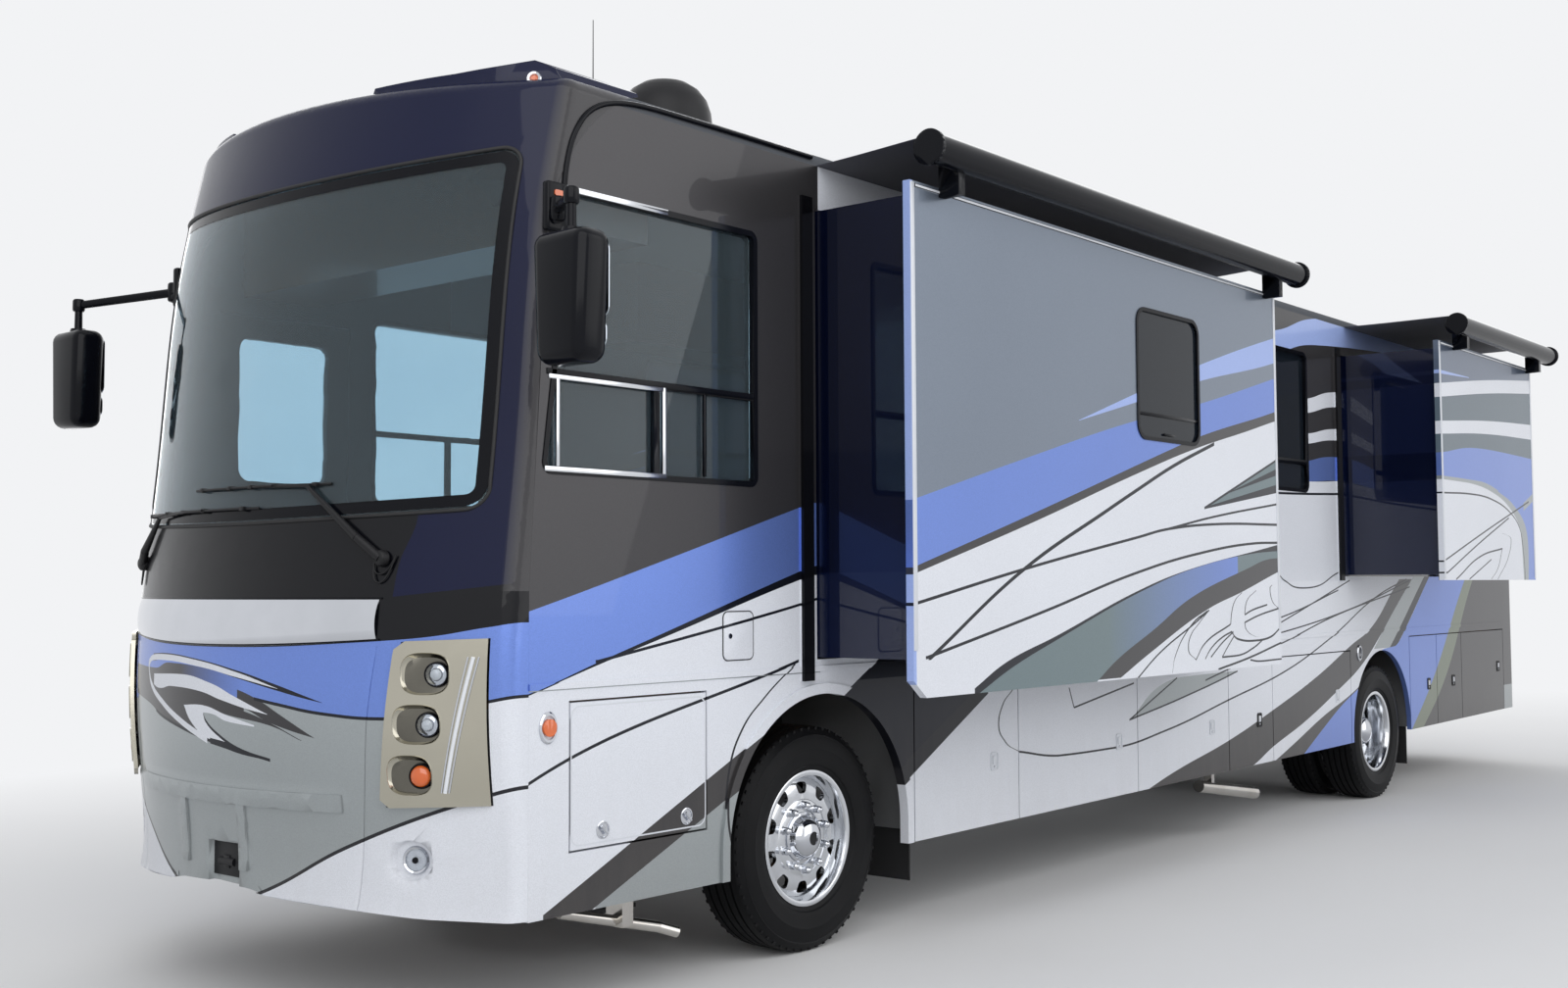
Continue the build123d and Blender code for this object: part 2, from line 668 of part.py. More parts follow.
def roller(row, slide):
    """The tube above a slide-out room with its end caps and two arms."""
    past_rear, past_front, above = row
    rear, front, low, high, out = slide
    start, end = rear - past_rear, front + past_front
    y, z = out + ROLLER_OUT, high + above
    cap, larger = ROLLER_CAP
    tube = rod((start + cap, y, z), (end - cap, y, z), ROLLER_R)
    for place in (start, end - cap):
        tube = tube + rod((place, y, z), (place + cap, y, z), ROLLER_R + larger)
    for place in (start + 250, end - 250):
        tube = tube + block(place - 25, place + 25, out + SEAT, y, high - 40, z - 20)
    return tube


def topper(row, slide):
    """The taut fabric between the roof rail and the roller."""
    past_rear, past_front, above = row
    rear, front, low, high, out = slide
    inward, thick = TOPPER
    y0, y1 = HALF_WIDTH + SEAT, out + ROLLER_OUT
    z0, z1 = RAIL_BASE, high + above + ROLLER_R + SEAT
    sheet = polygon((y0, z0), (y1, z1), (y1, z1 + thick), (y0, z0 + thick))
    return front_plate(sheet, rear - past_rear + inward, front + past_front - inward)


# Running gear


def ring(profile, y, side):
    """Turn a profile of radius and outward offset about a wheel's axis."""
    plane = Plane(origin=(0, 0, 0), x_dir=(1, 0, 0), z_dir=(0, 0, 1))
    solid = revolve(plane * make_face(Polyline(*profile, close=True)), axis=Axis.Y)
    return mirrored(Pos(0, y, 0) * solid, side)


def both_ways(profile):
    """A profile's outboard half and, in the opposite order, its mirror image inboard."""
    return [(radius, -out) for radius, out in profile] + [(radius, out) for radius, out in reversed(profile)]


# radius and offset of a tyre's section, from the bead to the tread
TYRE_PROFILE = both_ways([
    (BEAD_R + SEAT, RIM_HALF - BEAD_IN - SEAT), (FLANGE_R + SEAT, RIM_HALF - FLANGE_T - SEAT),
    (FLANGE_R + SEAT, RIM_HALF + 2), (400, TYRE_HALF), (470, TYRE_HALF - 12), (WHEEL_Z, TYRE_HALF - TYRE_SHOULDER),
])


def barrel(disc_y, side):
    """Radius and offset along one side of a rim, from the bead to the disc."""
    face = disc_y + (DISC_T if side > 0 else 0)
    return [
        (BEAD_R, side * (RIM_HALF - BEAD_IN)), (FLANGE_R, side * (RIM_HALF - FLANGE_T)),
        (FLANGE_R, side * RIM_HALF), (RIM_WALL_R, side * RIM_HALF), (RIM_WALL_R, face - 30), (DISC_R, face),
    ]


def rim(disc_y, hub_from, hub_to, y, side):
    """A rim turned in one piece with its hub and cap, then drilled and given its lug nuts."""
    bore = SPINDLE_R + RUNNING_FIT
    hub = [
        (HUB_R, disc_y), (HUB_R, hub_from), (bore, hub_from), (bore, hub_to), (0, hub_to), (0, hub_to + 45),
        (60, hub_to + 42), (CAP_R, hub_to + 20), (CAP_R, disc_y + DISC_T),
    ]
    profile = barrel(disc_y, -1) + hub + list(reversed(barrel(disc_y, 1)))
    solid = Rot(0, SEAM_TURN, 0) * ring(profile, 0, 1)
    holes, lugs = [], []
    for index in range(HAND_HOLES):
        angle = radians(360 / HAND_HOLES * (index + 0.5))
        place = (HAND_HOLE_PCR * sin(angle), disc_y - 60, HAND_HOLE_PCR * cos(angle))
        holes.append(disc(place, (0, 1, 0), HAND_HOLE_R, 100))
    for index in range(LUGS):
        angle = radians(360 / LUGS * index)
        plane = Plane(origin=(LUG_PCR * sin(angle), disc_y + 8, LUG_PCR * cos(angle)), z_dir=(0, 1, 0))
        lugs.append(extrude(plane * RegularPolygon(LUG_R, 6), LUG_OUT))
    return mirrored(Pos(0, y, 0) * (solid - holes + lugs), side)


def inner_rim():
    """The inboard rim of a twin wheel, with its disc on the hub."""
    inside = [(HUB_R + SEAT, INNER_DISC), (HUB_R + SEAT, INNER_DISC + DISC_T)]
    profile = barrel(INNER_DISC, -1) + inside + list(reversed(barrel(INNER_DISC, 1)))
    return Pos(0, REAR_INNER_Y, 0) * ring(profile, 0, 1)


def rear_rims(side):
    """Both rims of a twin wheel, on one hub."""
    outer = rim(REAR_DISC, REAR_HUB_BACK, REAR_HUB, REAR_OUTER_Y, 1)
    return [at_wheel(mirrored(shape, side), REAR_AXLE) for shape in (outer, inner_rim())]


def at_wheel(shape, x):
    return Pos(x, 0, WHEEL_Z) * shape


def knuckle(side):
    """A forked knuckle with its kingpin and spindle."""
    pin = disc((0, KINGPIN_Y, -120), (0, 0, 1), KINGPIN_R, 240)
    fork = block(-50, 50, KINGPIN_Y - 50, KINGPIN_Y + 95, 66, 110)
    fork = fork + block(-50, 50, KINGPIN_Y - 50, KINGPIN_Y + 95, -110, -66)
    web = block(-50, 50, KINGPIN_Y + 65, KINGPIN_Y + 95, -110, 110)
    spindle = disc((0, KINGPIN_Y + 90, 0), (0, 1, 0), SPINDLE_R, FRONT_Y + FRONT_HUB - KINGPIN_Y - 90 - SEAT)
    return at_wheel(mirrored(pin + fork + web + spindle, side), 0)


def front_axle():
    """A dropped beam with an eye at each end and its air springs."""
    reach = KINGPIN_Y - 55
    beam = block(-45, 45, -reach, reach, -60, 40)
    beam = beam - block(-46, -12, -700, 700, -40, 20) - block(12, 46, -700, 700, -40, 20)
    for side in (1, -1):
        hole = disc((0, side * KINGPIN_Y, -70), (0, 0, 1), KINGPIN_R + RUNNING_FIT, 140)
        eye = disc((0, side * KINGPIN_Y, -65), (0, 0, 1), 55, 130)
        spring = disc((0, side * (FRAME_HALF - 40), 40), (0, 0, 1), 110, FRAME_LOW - WHEEL_Z - 40 - SEAT)
        beam = beam + eye + spring - hole
    return at_wheel(beam, 0)


def rear_axle():
    """A drive axle with its differential, spindles and air springs."""
    reach = REAR_INNER_Y - 175
    spindle_end = REAR_OUTER_Y + REAR_HUB - SEAT
    half = [(0, spindle_end), (SPINDLE_R, spindle_end), (SPINDLE_R, reach), (75, reach), (75, 190), (160, 130), (200, 0)]
    lower = [(radius, -out) for radius, out in reversed(half[:-1])]
    housing = ring(half + lower, 0, 1) + rod((0, 0, 0), (-330, 0, 0), 90)
    for side in (1, -1):
        for x in (-330, 330):
            pad = block(x - 90, x + 90, side * 350, side * 520, -60, 0)
            spring = disc((x, side * (FRAME_HALF - 40), 0), (0, 0, 1), 120, FRAME_LOW - WHEEL_Z - SEAT)
            housing = housing + pad + spring
        housing = housing + block(-420, 420, side * 400, side * 460, -70, -20)
    return at_wheel(housing, REAR_AXLE)


def chassis_rails():
    """Two channel rails with their crossmembers."""
    frame = None
    for side in (1, -1):
        rail = block(FRAME_REAR, FRAME_FRONT, side * (FRAME_HALF - FRAME_WIDTH), side * FRAME_HALF, FRAME_LOW, FRAME_HIGH)
        hollow = block(
            FRAME_REAR - 5, FRAME_FRONT + 5, side * (FRAME_HALF - FRAME_WIDTH - 5), side * (FRAME_HALF - FRAME_WEB),
            FRAME_LOW + FRAME_WEB, FRAME_HIGH - FRAME_WEB,
        )
        rail = rail - hollow
        frame = rail if frame is None else frame + rail
    half = FRAME_HALF - FRAME_WEB
    for x in CROSSMEMBERS:
        frame = frame + block(x - 40, x + 40, -half, half, FRAME_LOW + 40, FRAME_HIGH - 40)
    return frame


RECEIVER_OUT = 63.5
RECEIVER_IN = 51
RECEIVER_Z = 520
RECEIVER_END = REAR_X - 90
RECEIVER_PIN_R = 8
RECEIVER_PIN_X = RECEIVER_END + 50
RECEIVER_BAR = (FRAME_REAR + 150, FRAME_REAR + 230, 40)
HANGER = (12, 120)    # plate that bolts to a rail: thickness, how far it laps the rail


def receiver():
    """A square socket with its pin bore, on a cross bar that hangs from the rails' outer faces."""
    half, hollow = RECEIVER_OUT / 2, RECEIVER_IN / 2
    bar_rear, bar_front, bar_half = RECEIVER_BAR
    thick, lap = HANGER
    inside, outside = FRAME_HALF + SEAT, FRAME_HALF + SEAT + thick
    tube = block(RECEIVER_END, bar_rear, -half, half, RECEIVER_Z - half, RECEIVER_Z + half)
    tube = tube - block(RECEIVER_END - CLEAR, bar_rear, -hollow, hollow, RECEIVER_Z - hollow, RECEIVER_Z + hollow)
    tube = tube + block(bar_rear, bar_front, -outside, outside, RECEIVER_Z - bar_half, RECEIVER_Z + bar_half)
    for side in (1, -1):
        tube = tube + block(bar_rear, bar_front, side * inside, side * outside, RECEIVER_Z, FRAME_LOW + lap)
    return tube - disc((RECEIVER_PIN_X, -RECEIVER_OUT, RECEIVER_Z), (0, 1, 0), RECEIVER_PIN_R, 2 * RECEIVER_OUT)


def house_floor():
    deck = block(REAR_CAP_X + CLEAR, SEAM_X - 5, -INNER_HALF + SEAT, INNER_HALF - SEAT, FLOOR_LOW, FLOOR_TOP)
    rear, front, low, high = ENTRY
    deck = deck - block(rear + 10, front - 10, -INNER_HALF - 10, -STEP_IN, FLOOR_LOW - 10, FLOOR_TOP + 10)
    for x in CROSSMEMBERS:
        deck = deck + block(x - 30, x + 30, -FRAME_HALF, FRAME_HALF, FRAME_HIGH + SEAT, FLOOR_LOW)
    return deck


def bay_trays():
    """Floors, dividers and jambs of the bays, open to the doors, as separate plates."""
    plates = []
    wide = SKIRT_IN - SEAT
    under_floor = FLOOR_LOW - SEAT
    base = SKIRT_BOTTOM + SKIRT_RISE
    # dividers, bottom of their tray
    for seams, low in ((FRONT_DIVIDERS, TRAY_LOW), (REAR_DIVIDERS, base)):
        front, rear = seams[0] + DIVIDER / 2, seams[-1] - DIVIDER / 2
        floor_slope = low if seams is REAR_DIVIDERS else low + 35
        plates.append(block(rear, front, -wide, wide, floor_slope, floor_slope + DIVIDER))
        for x in seams:
            wall = block(x - DIVIDER / 2, x + DIVIDER / 2, -wide, wide, floor_slope + DIVIDER + SEAT, under_floor)
            gap = FRAME_HALF + 10
            plates.append(wall - block(x - DIVIDER, x + DIVIDER, -gap, gap, FRAME_LOW - 10, FLOOR_TOP))
    for x in JAMBS:
        for side in (1, -1):
            plates.append(block(x - 10, x + 10, side * (SKIRT_IN - JAMB_IN), side * wide, base, under_floor))
    rear, front, low, high = LOCKER
    plates.append(block(rear - 60, front + 60, LOCKER_IN, wide, low - 40, low - 20))
    for x in (rear, front):
        plates.append(block(x - 10, x + 10, LOCKER_IN, wide, low - 20 + SEAT, under_floor))
    return plates


STEP_IN = 560
STEP_T = 20
# outer edge, inner edge and height of each tread
STEPS = [(1235, 980, 450), (980, 770, 700), (770, STEP_IN, 950)]


def entry_steps():
    rear, front, low, high = ENTRY
    steps = None
    for outer, inner, height in STEPS:
        rise = 250 if inner > STEP_IN else FLOOR_LOW - height - SEAT
        tread = block(rear + 20, front - 20, -outer, -inner, height, height + STEP_T)
        riser = block(rear + 20, front - 20, -inner, -inner + STEP_T, height, height + rise)
        steps = tread + riser if steps is None else steps + tread + riser
    return steps


# Cab

# forward face of the dash, from the floor up, in X and height
DASH_FACE = [(1520, FLOOR_TOP + SEAT), (1480, 1560), (1330, 1600), (1310, 1700), (1420, 1790)]
DASH_TOP = 1835
DASH_LEFT = INNER_HALF - 47
DASH_RIGHT = -940     # stops short of the entry steps


def dash():
    behind = [(AHEAD, DASH_TOP), (AHEAD, 1600), (1640, 1400), (1600, FLOOR_TOP + SEAT)]
    return side_plate(polygon(*DASH_FACE, *behind), DASH_RIGHT, DASH_LEFT) & nose_solid(CAP + 12)


WHEEL_TILT = radians(35)
WHEEL_AXIS = Vector(-sin(WHEEL_TILT), 0, cos(WHEEL_TILT))
WHEEL_CENTRE = Vector(1130, 620, 1960)
WHEEL_RING = (215, 15)
COLUMN = (320, 28)


def steering_wheel():
    """A wheel with three spokes whose column ends at the dash."""
    plane = Plane(origin=WHEEL_CENTRE, z_dir=WHEEL_AXIS)
    radius, thick = WHEEL_RING
    section = Plane.XZ * (Pos(radius, 0) * RegularPolygon(thick, 8))
    wheel = plane * revolve(section, axis=Axis.Z) + plane * Cylinder(50, 40)
    for angle in (90, 210, 330):
        wheel = wheel + plane * Rot(0, 0, angle) * Pos(radius / 2, 0, 0) * Box(radius - thick, 36, 12)
    length, column_r = COLUMN
    column = rod(tuple(WHEEL_CENTRE), tuple(WHEEL_CENTRE - WHEEL_AXIS * length), column_r)
    clear_of_dash = [(x - SEAT, z + SEAT) for x, z in DASH_FACE]
    tool = side_plate(polygon(*clear_of_dash, (AHEAD, DASH_TOP), (AHEAD, FLOOR_TOP)), DASH_RIGHT, DASH_LEFT)
    return wheel + column - tool


# a cab seat from the side, in X and height, and the seats' middles
SEAT_OUTLINE = [
    (830, FLOOR_TOP + SEAT), (830, 1560), (960, 1600), (960, 1700), (520, 1690), (430, 2380), (330, 2370),
    (390, 1600), (520, 1560), (520, FLOOR_TOP + SEAT),
]
SEAT_MIDDLES = (640, -290)
SEAT_HALF = 260


def cab_seats():
    return [side_plate(polygon(*SEAT_OUTLINE), y - SEAT_HALF, y + SEAT_HALF) for y in SEAT_MIDDLES]


GALLEY = (-3300, -1000)
PARTITION_X = REAR_AXLE + 1120
DOORWAY = (350, 3200)


def cabinets():
    """Overhead cabinet, galley along the right wall and the bedroom partition."""
    wide = INNER_HALF - SEAT
    under_roof = ROOF_TOP - WALL - SEAT
    rear, front = GALLEY
    overhead = block(1000, 1400, -wide + 77, wide - 77, 3000, under_roof)
    base = block(rear, front, -wide, -wide + 587, FLOOR_TOP + SEAT, 2140)
    upper = block(rear, front, -wide, -wide + 327, 3030, under_roof)
    partition = block(PARTITION_X, PARTITION_X + 40, -wide, wide, FLOOR_TOP + SEAT, under_roof)
    half, top = DOORWAY
    return [overhead, base, upper, partition - block(PARTITION_X - 40, PARTITION_X + 80, -half, half, FLOOR_TOP - 10, top)]


# Outside fittings


def mirrors():
    """A head on an arm with an elbow, from a foot on each front corner."""
    heads = []
    rear, front, low, high, proud = MIRROR_FOOT
    for side in (1, -1):
        head = block(
            MIRROR_X - MIRROR_DEEP / 2, MIRROR_X + MIRROR_DEEP / 2,
            MIRROR_Y - MIRROR_WIDE / 2, MIRROR_Y + MIRROR_WIDE / 2, MIRROR_LOW, MIRROR_HIGH,
        )
        head = fillet(head.edges().filter_by(Axis.Z), MIRROR_CORNER)
        ends = [edge for edge in head.edges() if edge.center().Z < MIRROR_LOW + 1 or edge.center().Z > MIRROR_HIGH - 1]
        head = chamfer(ends, MIRROR_EDGE)
        elbow = (MIRROR_X, MIRROR_Y, MIRROR_HIGH + 120)
        foot = (rear + 35, HALF_WIDTH + proud / 2, MIRROR_HIGH + 190)
        arm = rod((MIRROR_X, MIRROR_Y, MIRROR_HIGH - 5), elbow, MIRROR_ARM_R) + rod(elbow, foot, MIRROR_ARM_R)
        arm = arm + disc((elbow[0], elbow[1], elbow[2] - MIRROR_ARM_R), (0, 0, 1), MIRROR_ARM_R, 2 * MIRROR_ARM_R)
        bracket = block(rear, front, HALF_WIDTH + SEAT, HALF_WIDTH + proud, low, high)
        heads.append(mirrored(head + arm + bracket, side))
    return heads


# Wipers: pivot in from the side and its height, the blade's two ends and its height
WIPERS = [(1, 446.5, 1713, 860, -221, 2009), (-1, 446.5, 1713, 860, -254, 1925)]
BLADE_HALF = 9
BLADE_DEPTH = 18
WIPER_STAND = 34
WIPER_BOSS_R = 26
WIPER_ARM_R = 12


def nose_x(y, z):
    """How far forward the nose's skin stands at one place."""
    for (low, low_x), (high, high_x) in zip(NOSE_PROFILE, NOSE_PROFILE[1:]):
        if z <= high:
            break
    front_x = low_x + (high_x - low_x) * (z - low) / (high - low)
    reach = min(abs(y), NOSE_ARC_HALF)
    slope = reach / sqrt(NOSE_RADIUS ** 2 - reach ** 2)
    return front_x - NOSE_RADIUS + sqrt(NOSE_RADIUS ** 2 - reach ** 2) - (abs(y) - reach) * slope


def wiper_blade(start, end, height):
    """A blade bent to the windshield's arc."""
    def arc(out):
        places = [(nose_x(y, height) + out, y) for y in (start, (start + end) / 2, end)]
        return places if out == SEAT else places[::-1]

    near, far = arc(SEAT), arc(BLADE_DEPTH)
    edges = [ThreePointArc(*near), Line(near[-1], far[0]), ThreePointArc(*far), Line(far[-1], near[0])]
    return Pos(0, 0, height - BLADE_HALF) * extrude(make_face(edges), 2 * BLADE_HALF)


def wipers():
    arms = []
    for side, inward, pivot_z, blade_from, blade_to, height in WIPERS:
        pivot_y = side * (HALF_WIDTH - inward)
        start, end = side * blade_from, side * blade_to
        middle = (start + end) / 2
        foot_x = nose_x(pivot_y, pivot_z)
        boss = rod((foot_x - 40, pivot_y, pivot_z), (foot_x + WIPER_STAND, pivot_y, pivot_z), WIPER_BOSS_R)
        tip = (nose_x(middle, height) + WIPER_STAND, middle, height)
        bar = rod((foot_x + WIPER_STAND - WIPER_ARM_R, pivot_y, pivot_z), tip, WIPER_ARM_R)
        clip = rod(tip, (nose_x(middle, height) + 5, middle, height), WIPER_ARM_R)
        arms.append((bar + clip + boss - NOSE_SEAT) + wiper_blade(start, end, height))
    return arms


def pocket_outline(side, inward, height, grow=0):
    shape = Rectangle(POCKET_WIDE + 2 * grow, POCKET_HIGH + 2 * grow)
    shape = fillet(shape.vertices(), POCKET_ROUND + grow)
    return Pos(side * (HALF_WIDTH - inward), height) * shape


def headlamp_panels():
    """A bright panel at each corner with three oval lamp pockets."""
    skin = nose_solid(-PANEL_PROUD) - nose_solid(CAP)
    panels = []
    for side in (1, -1):
        panel = front_plate(panel_outline(side), SHIELD_BACK_X, AHEAD) & skin
        for inward, height in POCKETS:
            panel = panel - under_skin(pocket_outline(side, inward, height), POCKET_DEPTH)
        panels.append(panel)
    return panels


MARKER = (1652, 1100, 32, 15)   # amber side lamp: X, height, radius, how far out
REAR_LAMPS = (282.5, (1350, 1500, 1650), 55, 20)  # in from the side, heights, radius, how far out
ROOF_LAMPS = (-1000, -258, 0, 258, 1000)
ROOF_LAMP = (40, 28)


def lamps():
    """Headlamps in their pockets, fog lamps, side markers, rear lamps and roof lamps."""
    lenses = []
    bowl = nose_solid(2) - nose_solid(POCKET_DEPTH - SEAT)
    fog_inward, fog_z, fog_r, dish, dish_depth = FOG_LAMP
    fog = nose_solid(2) - nose_solid(dish_depth - SEAT)
    marker_x, marker_z, marker_r, marker_out = MARKER
    rear_inward, rear_heights, rear_r, rear_out = REAR_LAMPS
    for side in (1, -1):
        for inward, z in POCKETS:
            y = side * (HALF_WIDTH - inward + PANEL_LAMP_OUT)
            lenses.append(disc((SHIELD_BACK_X, y, z), (1, 0, 0), PANEL_LAMP_R, AHEAD - SHIELD_BACK_X) & bowl)
        y = side * (HALF_WIDTH - fog_inward)
        lenses.append(disc((SHIELD_BACK_X, y, fog_z), (1, 0, 0), fog_r, AHEAD - SHIELD_BACK_X) & fog)
        lenses.append(disc((marker_x, side * (HALF_WIDTH + SEAT), marker_z), (0, side, 0), marker_r, marker_out))
        for z in rear_heights:
            y = side * (HALF_WIDTH - rear_inward)
            lenses.append(disc((REAR_X - SEAT, y, z), (-1, 0, 0), rear_r, rear_out))
    half, up = ROOF_LAMP
    for y in ROOF_LAMPS:
        base = ROOF_TOP + SEAT
        if abs(y) < 500:
            lenses.append(block(1640, 1720, y - half, y + half, base, ROOF_TOP + up))
        lenses.append(block(REAR_CAP_X - 190, REAR_CAP_X - 130, y - half, y + half, base, ROOF_TOP + up))
    return lenses


COOLERS = (-2300, -4900, REAR_AXLE - 1660)
COOLER_SIZE = (960, 720, 260)
COOLER_CORNER = 120
COOLER_TAPER = 80
DOME = [(0, 0), (220, 0), (220, 180), (190, 300), (110, 370), (0, 390)]
AERIAL = (4400, 4, 25, 30)    # top, radius, foot radius, foot height


def roof_gear():
    """Air conditioners, dish dome and the whip aerial."""
    base = ROOF_TOP + SEAT
    gear = []
    long, wide, high = COOLER_SIZE
    for x in COOLERS:
        foot = fillet(Rectangle(long, wide).vertices(), COOLER_CORNER)
        crown = fillet(Rectangle(long - COOLER_TAPER, wide - COOLER_TAPER).vertices(), COOLER_CORNER - COOLER_TAPER / 2)
        gear.append(Pos(x, 0, base) * loft([foot, Pos(0, 0, high) * crown]))
    dome = revolve(Plane.XZ * make_face(Polyline(*DOME, close=True)), axis=Axis.Z)
    gear.append(Pos(325, 600, base) * dome)
    top, radius, foot_r, foot_h = AERIAL
    gear.append(rod((210, 0, base), (210, 0, top), radius) + disc((210, 0, base), (0, 0, 1), foot_r, foot_h))
    return gear


def exhaust():
    """The generator's tailpipe at the front and the engine's tailpipe further back."""
    inward = SKIRT_IN - 1247.5
    front = rod((1447, 1120 + inward, 380), (950, 1160 + inward, 255), 22)
    front = front + rod((950, 1160 + inward, 255), (870, 1190 + inward, 225), 22)
    front = front + block(1120, 1180, 1100 + inward, 1190 + inward, 290, LOCKER[2] - 40 - SEAT)
    rear = rod((-3900, 1150 + inward, 350), (-4630, 1190 + inward, 240), 38)
    rear = rear + block(-4060, -4020, 1130 + inward, 1180 + inward, 340, TRAY_LOW + 35 - SEAT)
    return [front, rear]


JACKS = (660, REAR_AXLE - 1960)


def levelling_jacks():
    """A leg, ram and square foot beside each end of both rails."""
    legs = []
    for x in JACKS:
        for side in (1, -1):
            y = side * (FRAME_HALF + 75)
            leg = disc((x, y, 330), (0, 0, 1), 50, FRAME_HIGH - 60 - 330)
            leg = leg + disc((x, y, 230), (0, 0, 1), 32, 110) + block(x - 100, x + 100, y - 100, y + 100, 215, 233)
            leg = leg + block(x - 70, x + 70, side * (FRAME_HALF + SEAT), y, FRAME_LOW + 10, FRAME_HIGH - 40)
            legs.append(leg)
    return legs


# X of a flap's front, from the middle to its inner edge, its lower edge and what it hangs from
FLAPS = [(-682, FRONT_Y - 125, 220, TRAY_LOW + 35), (REAR_AXLE - 627, REAR_INNER_Y - 135, 200, SKIRT_BOTTOM + SKIRT_RISE)]
FLAP_T = 8


def mud_flaps():
    flaps = []
    for side in (1, -1):
        for x, inner, low, hung_from in FLAPS:
            flaps.append(block(x - FLAP_T, x, side * inner, side * (SKIRT_IN - 20), low, hung_from - SEAT))
    return flaps


def add(name, shapes):
    if not isinstance(shapes, (list, tuple)):
        shapes = [shapes]
    solids = []
    for shape in shapes:
        solids.extend(shape.solids())
    nodes[name] = Compound(children=solids)


def engine_block():
    rear, front, low, high = ENGINE
    half = FRAME_HALF - FRAME_WIDTH - SEAT
    return block(rear, front, -half, half, low, high)


def build():
    add("chassis_rails", [chassis_rails(), receiver()])
    add("front_axle", front_axle())
    add("rear_axle", rear_axle())
    add("engine_block", engine_block())
    add("house_floor", house_floor())
    add("bay_trays", bay_trays())
    add("wall_left", wall_left())
    add("wall_right", wall_right())
    add("skirts", [skirt(1), skirt(-1)])
    add("roof", roof())
    add("front_cap", front_cap())
    add("rear_cap", rear_cap())
    add("glass", [windshield()] + [framed_window(row)[2] for row in WINDOWS])
    add("window_frames", [framed_window(row)[1] for row in WINDOWS])
    add("entry_steps", entry_steps())
    add("dash", dash())
    add("steering_wheel", steering_wheel())
    add("cab_seats", cab_seats())
    add("cabinets", cabinets())
    add("mirrors", mirrors())
    add("wipers", wipers())
    add("headlamp_panels", headlamp_panels())
    add("lamps", lamps())
    add("roof_gear", roof_gear())
    add("exhaust", exhaust())
    add("levelling_jacks", levelling_jacks())
    add("mud_flaps", mud_flaps())
    for side, word in ((1, "left"), (-1, "right")):
        add("knuckle_" + word, knuckle(side))
        add("front_tyre_" + word, at_wheel(ring(TYRE_PROFILE, FRONT_Y, side), 0))
        add("front_rim_" + word, at_wheel(rim(FRONT_DISC, FRONT_HUB_BACK, FRONT_HUB, FRONT_Y, side), 0))
        add("rear_tyres_" + word, [at_wheel(ring(TYRE_PROFILE, y, side), REAR_AXLE) for y in (REAR_OUTER_Y, REAR_INNER_Y)])
        add("rear_rims_" + word, rear_rims(side))
    rear, front, low, high, corner = SLIDE_WINDOW
    face = SLIDE_1[4]
    hole = side_plate(window_outline(rear, front, front, low, high, corner), face - FACE - CLEAR, face + CLEAR)
    pane_face = face - SLIDE_PANE_DEPTH
    pane = side_plate(window_outline(rear, front, front, low, high, corner, -SEAT), pane_face - PANE, pane_face)
    add("slide_1", slide_room(SLIDE_1, SLIDE_1_BOX_LOW, True) - hole)
    add("slide_1_glass", pane)
    add("slide_2", slide_room(SLIDE_2, SLIDE_2_BOX_LOW, False))
    for name, row, slide in (("slide_1", ROLLER_1, SLIDE_1), ("slide_2", ROLLER_2, SLIDE_2)):
        add(name + "_roller", roller(row, slide))
        add(name + "_topper", topper(row, slide))
    leaf, pane = entry_door()
    add("entry_door", leaf)
    add("entry_door_glass", pane)
    add("engine_door", engine_door())
    rear, front, low, high = LOCKER
    add("locker_door", block(rear, front, SKIRT_IN, HALF_WIDTH, low, high - 6))
    for side, rows in ((1, BAYS_LEFT), (-1, BAYS_RIGHT)):
        for name, front, rear, top in rows:
            add(name, bay_door(front, rear, top, side))


build()
everything = Compound(children=[Compound(children=list(node.solids())) for node in nodes.values()])
box = everything.bounding_box()
shift = Vector(-(box.min.X + box.max.X) / 2, -(box.min.Y + box.max.Y) / 2, -box.min.Z)
print("shift", tuple(shift), "size", tuple(box.size))
os.makedirs("parts", exist_ok=True)
for name, node in nodes.items():
    moved = [Pos(*shift) * solid for solid in node.solids()]
    export_step(moved[0] if len(moved) == 1 else Compound(children=moved), "parts/" + name + ".step")
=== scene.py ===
import json
from math import cos, pi, radians, sin

import bmesh
import bpy
from mathutils import Matrix, Vector
from mathutils.bvhtree import BVHTree

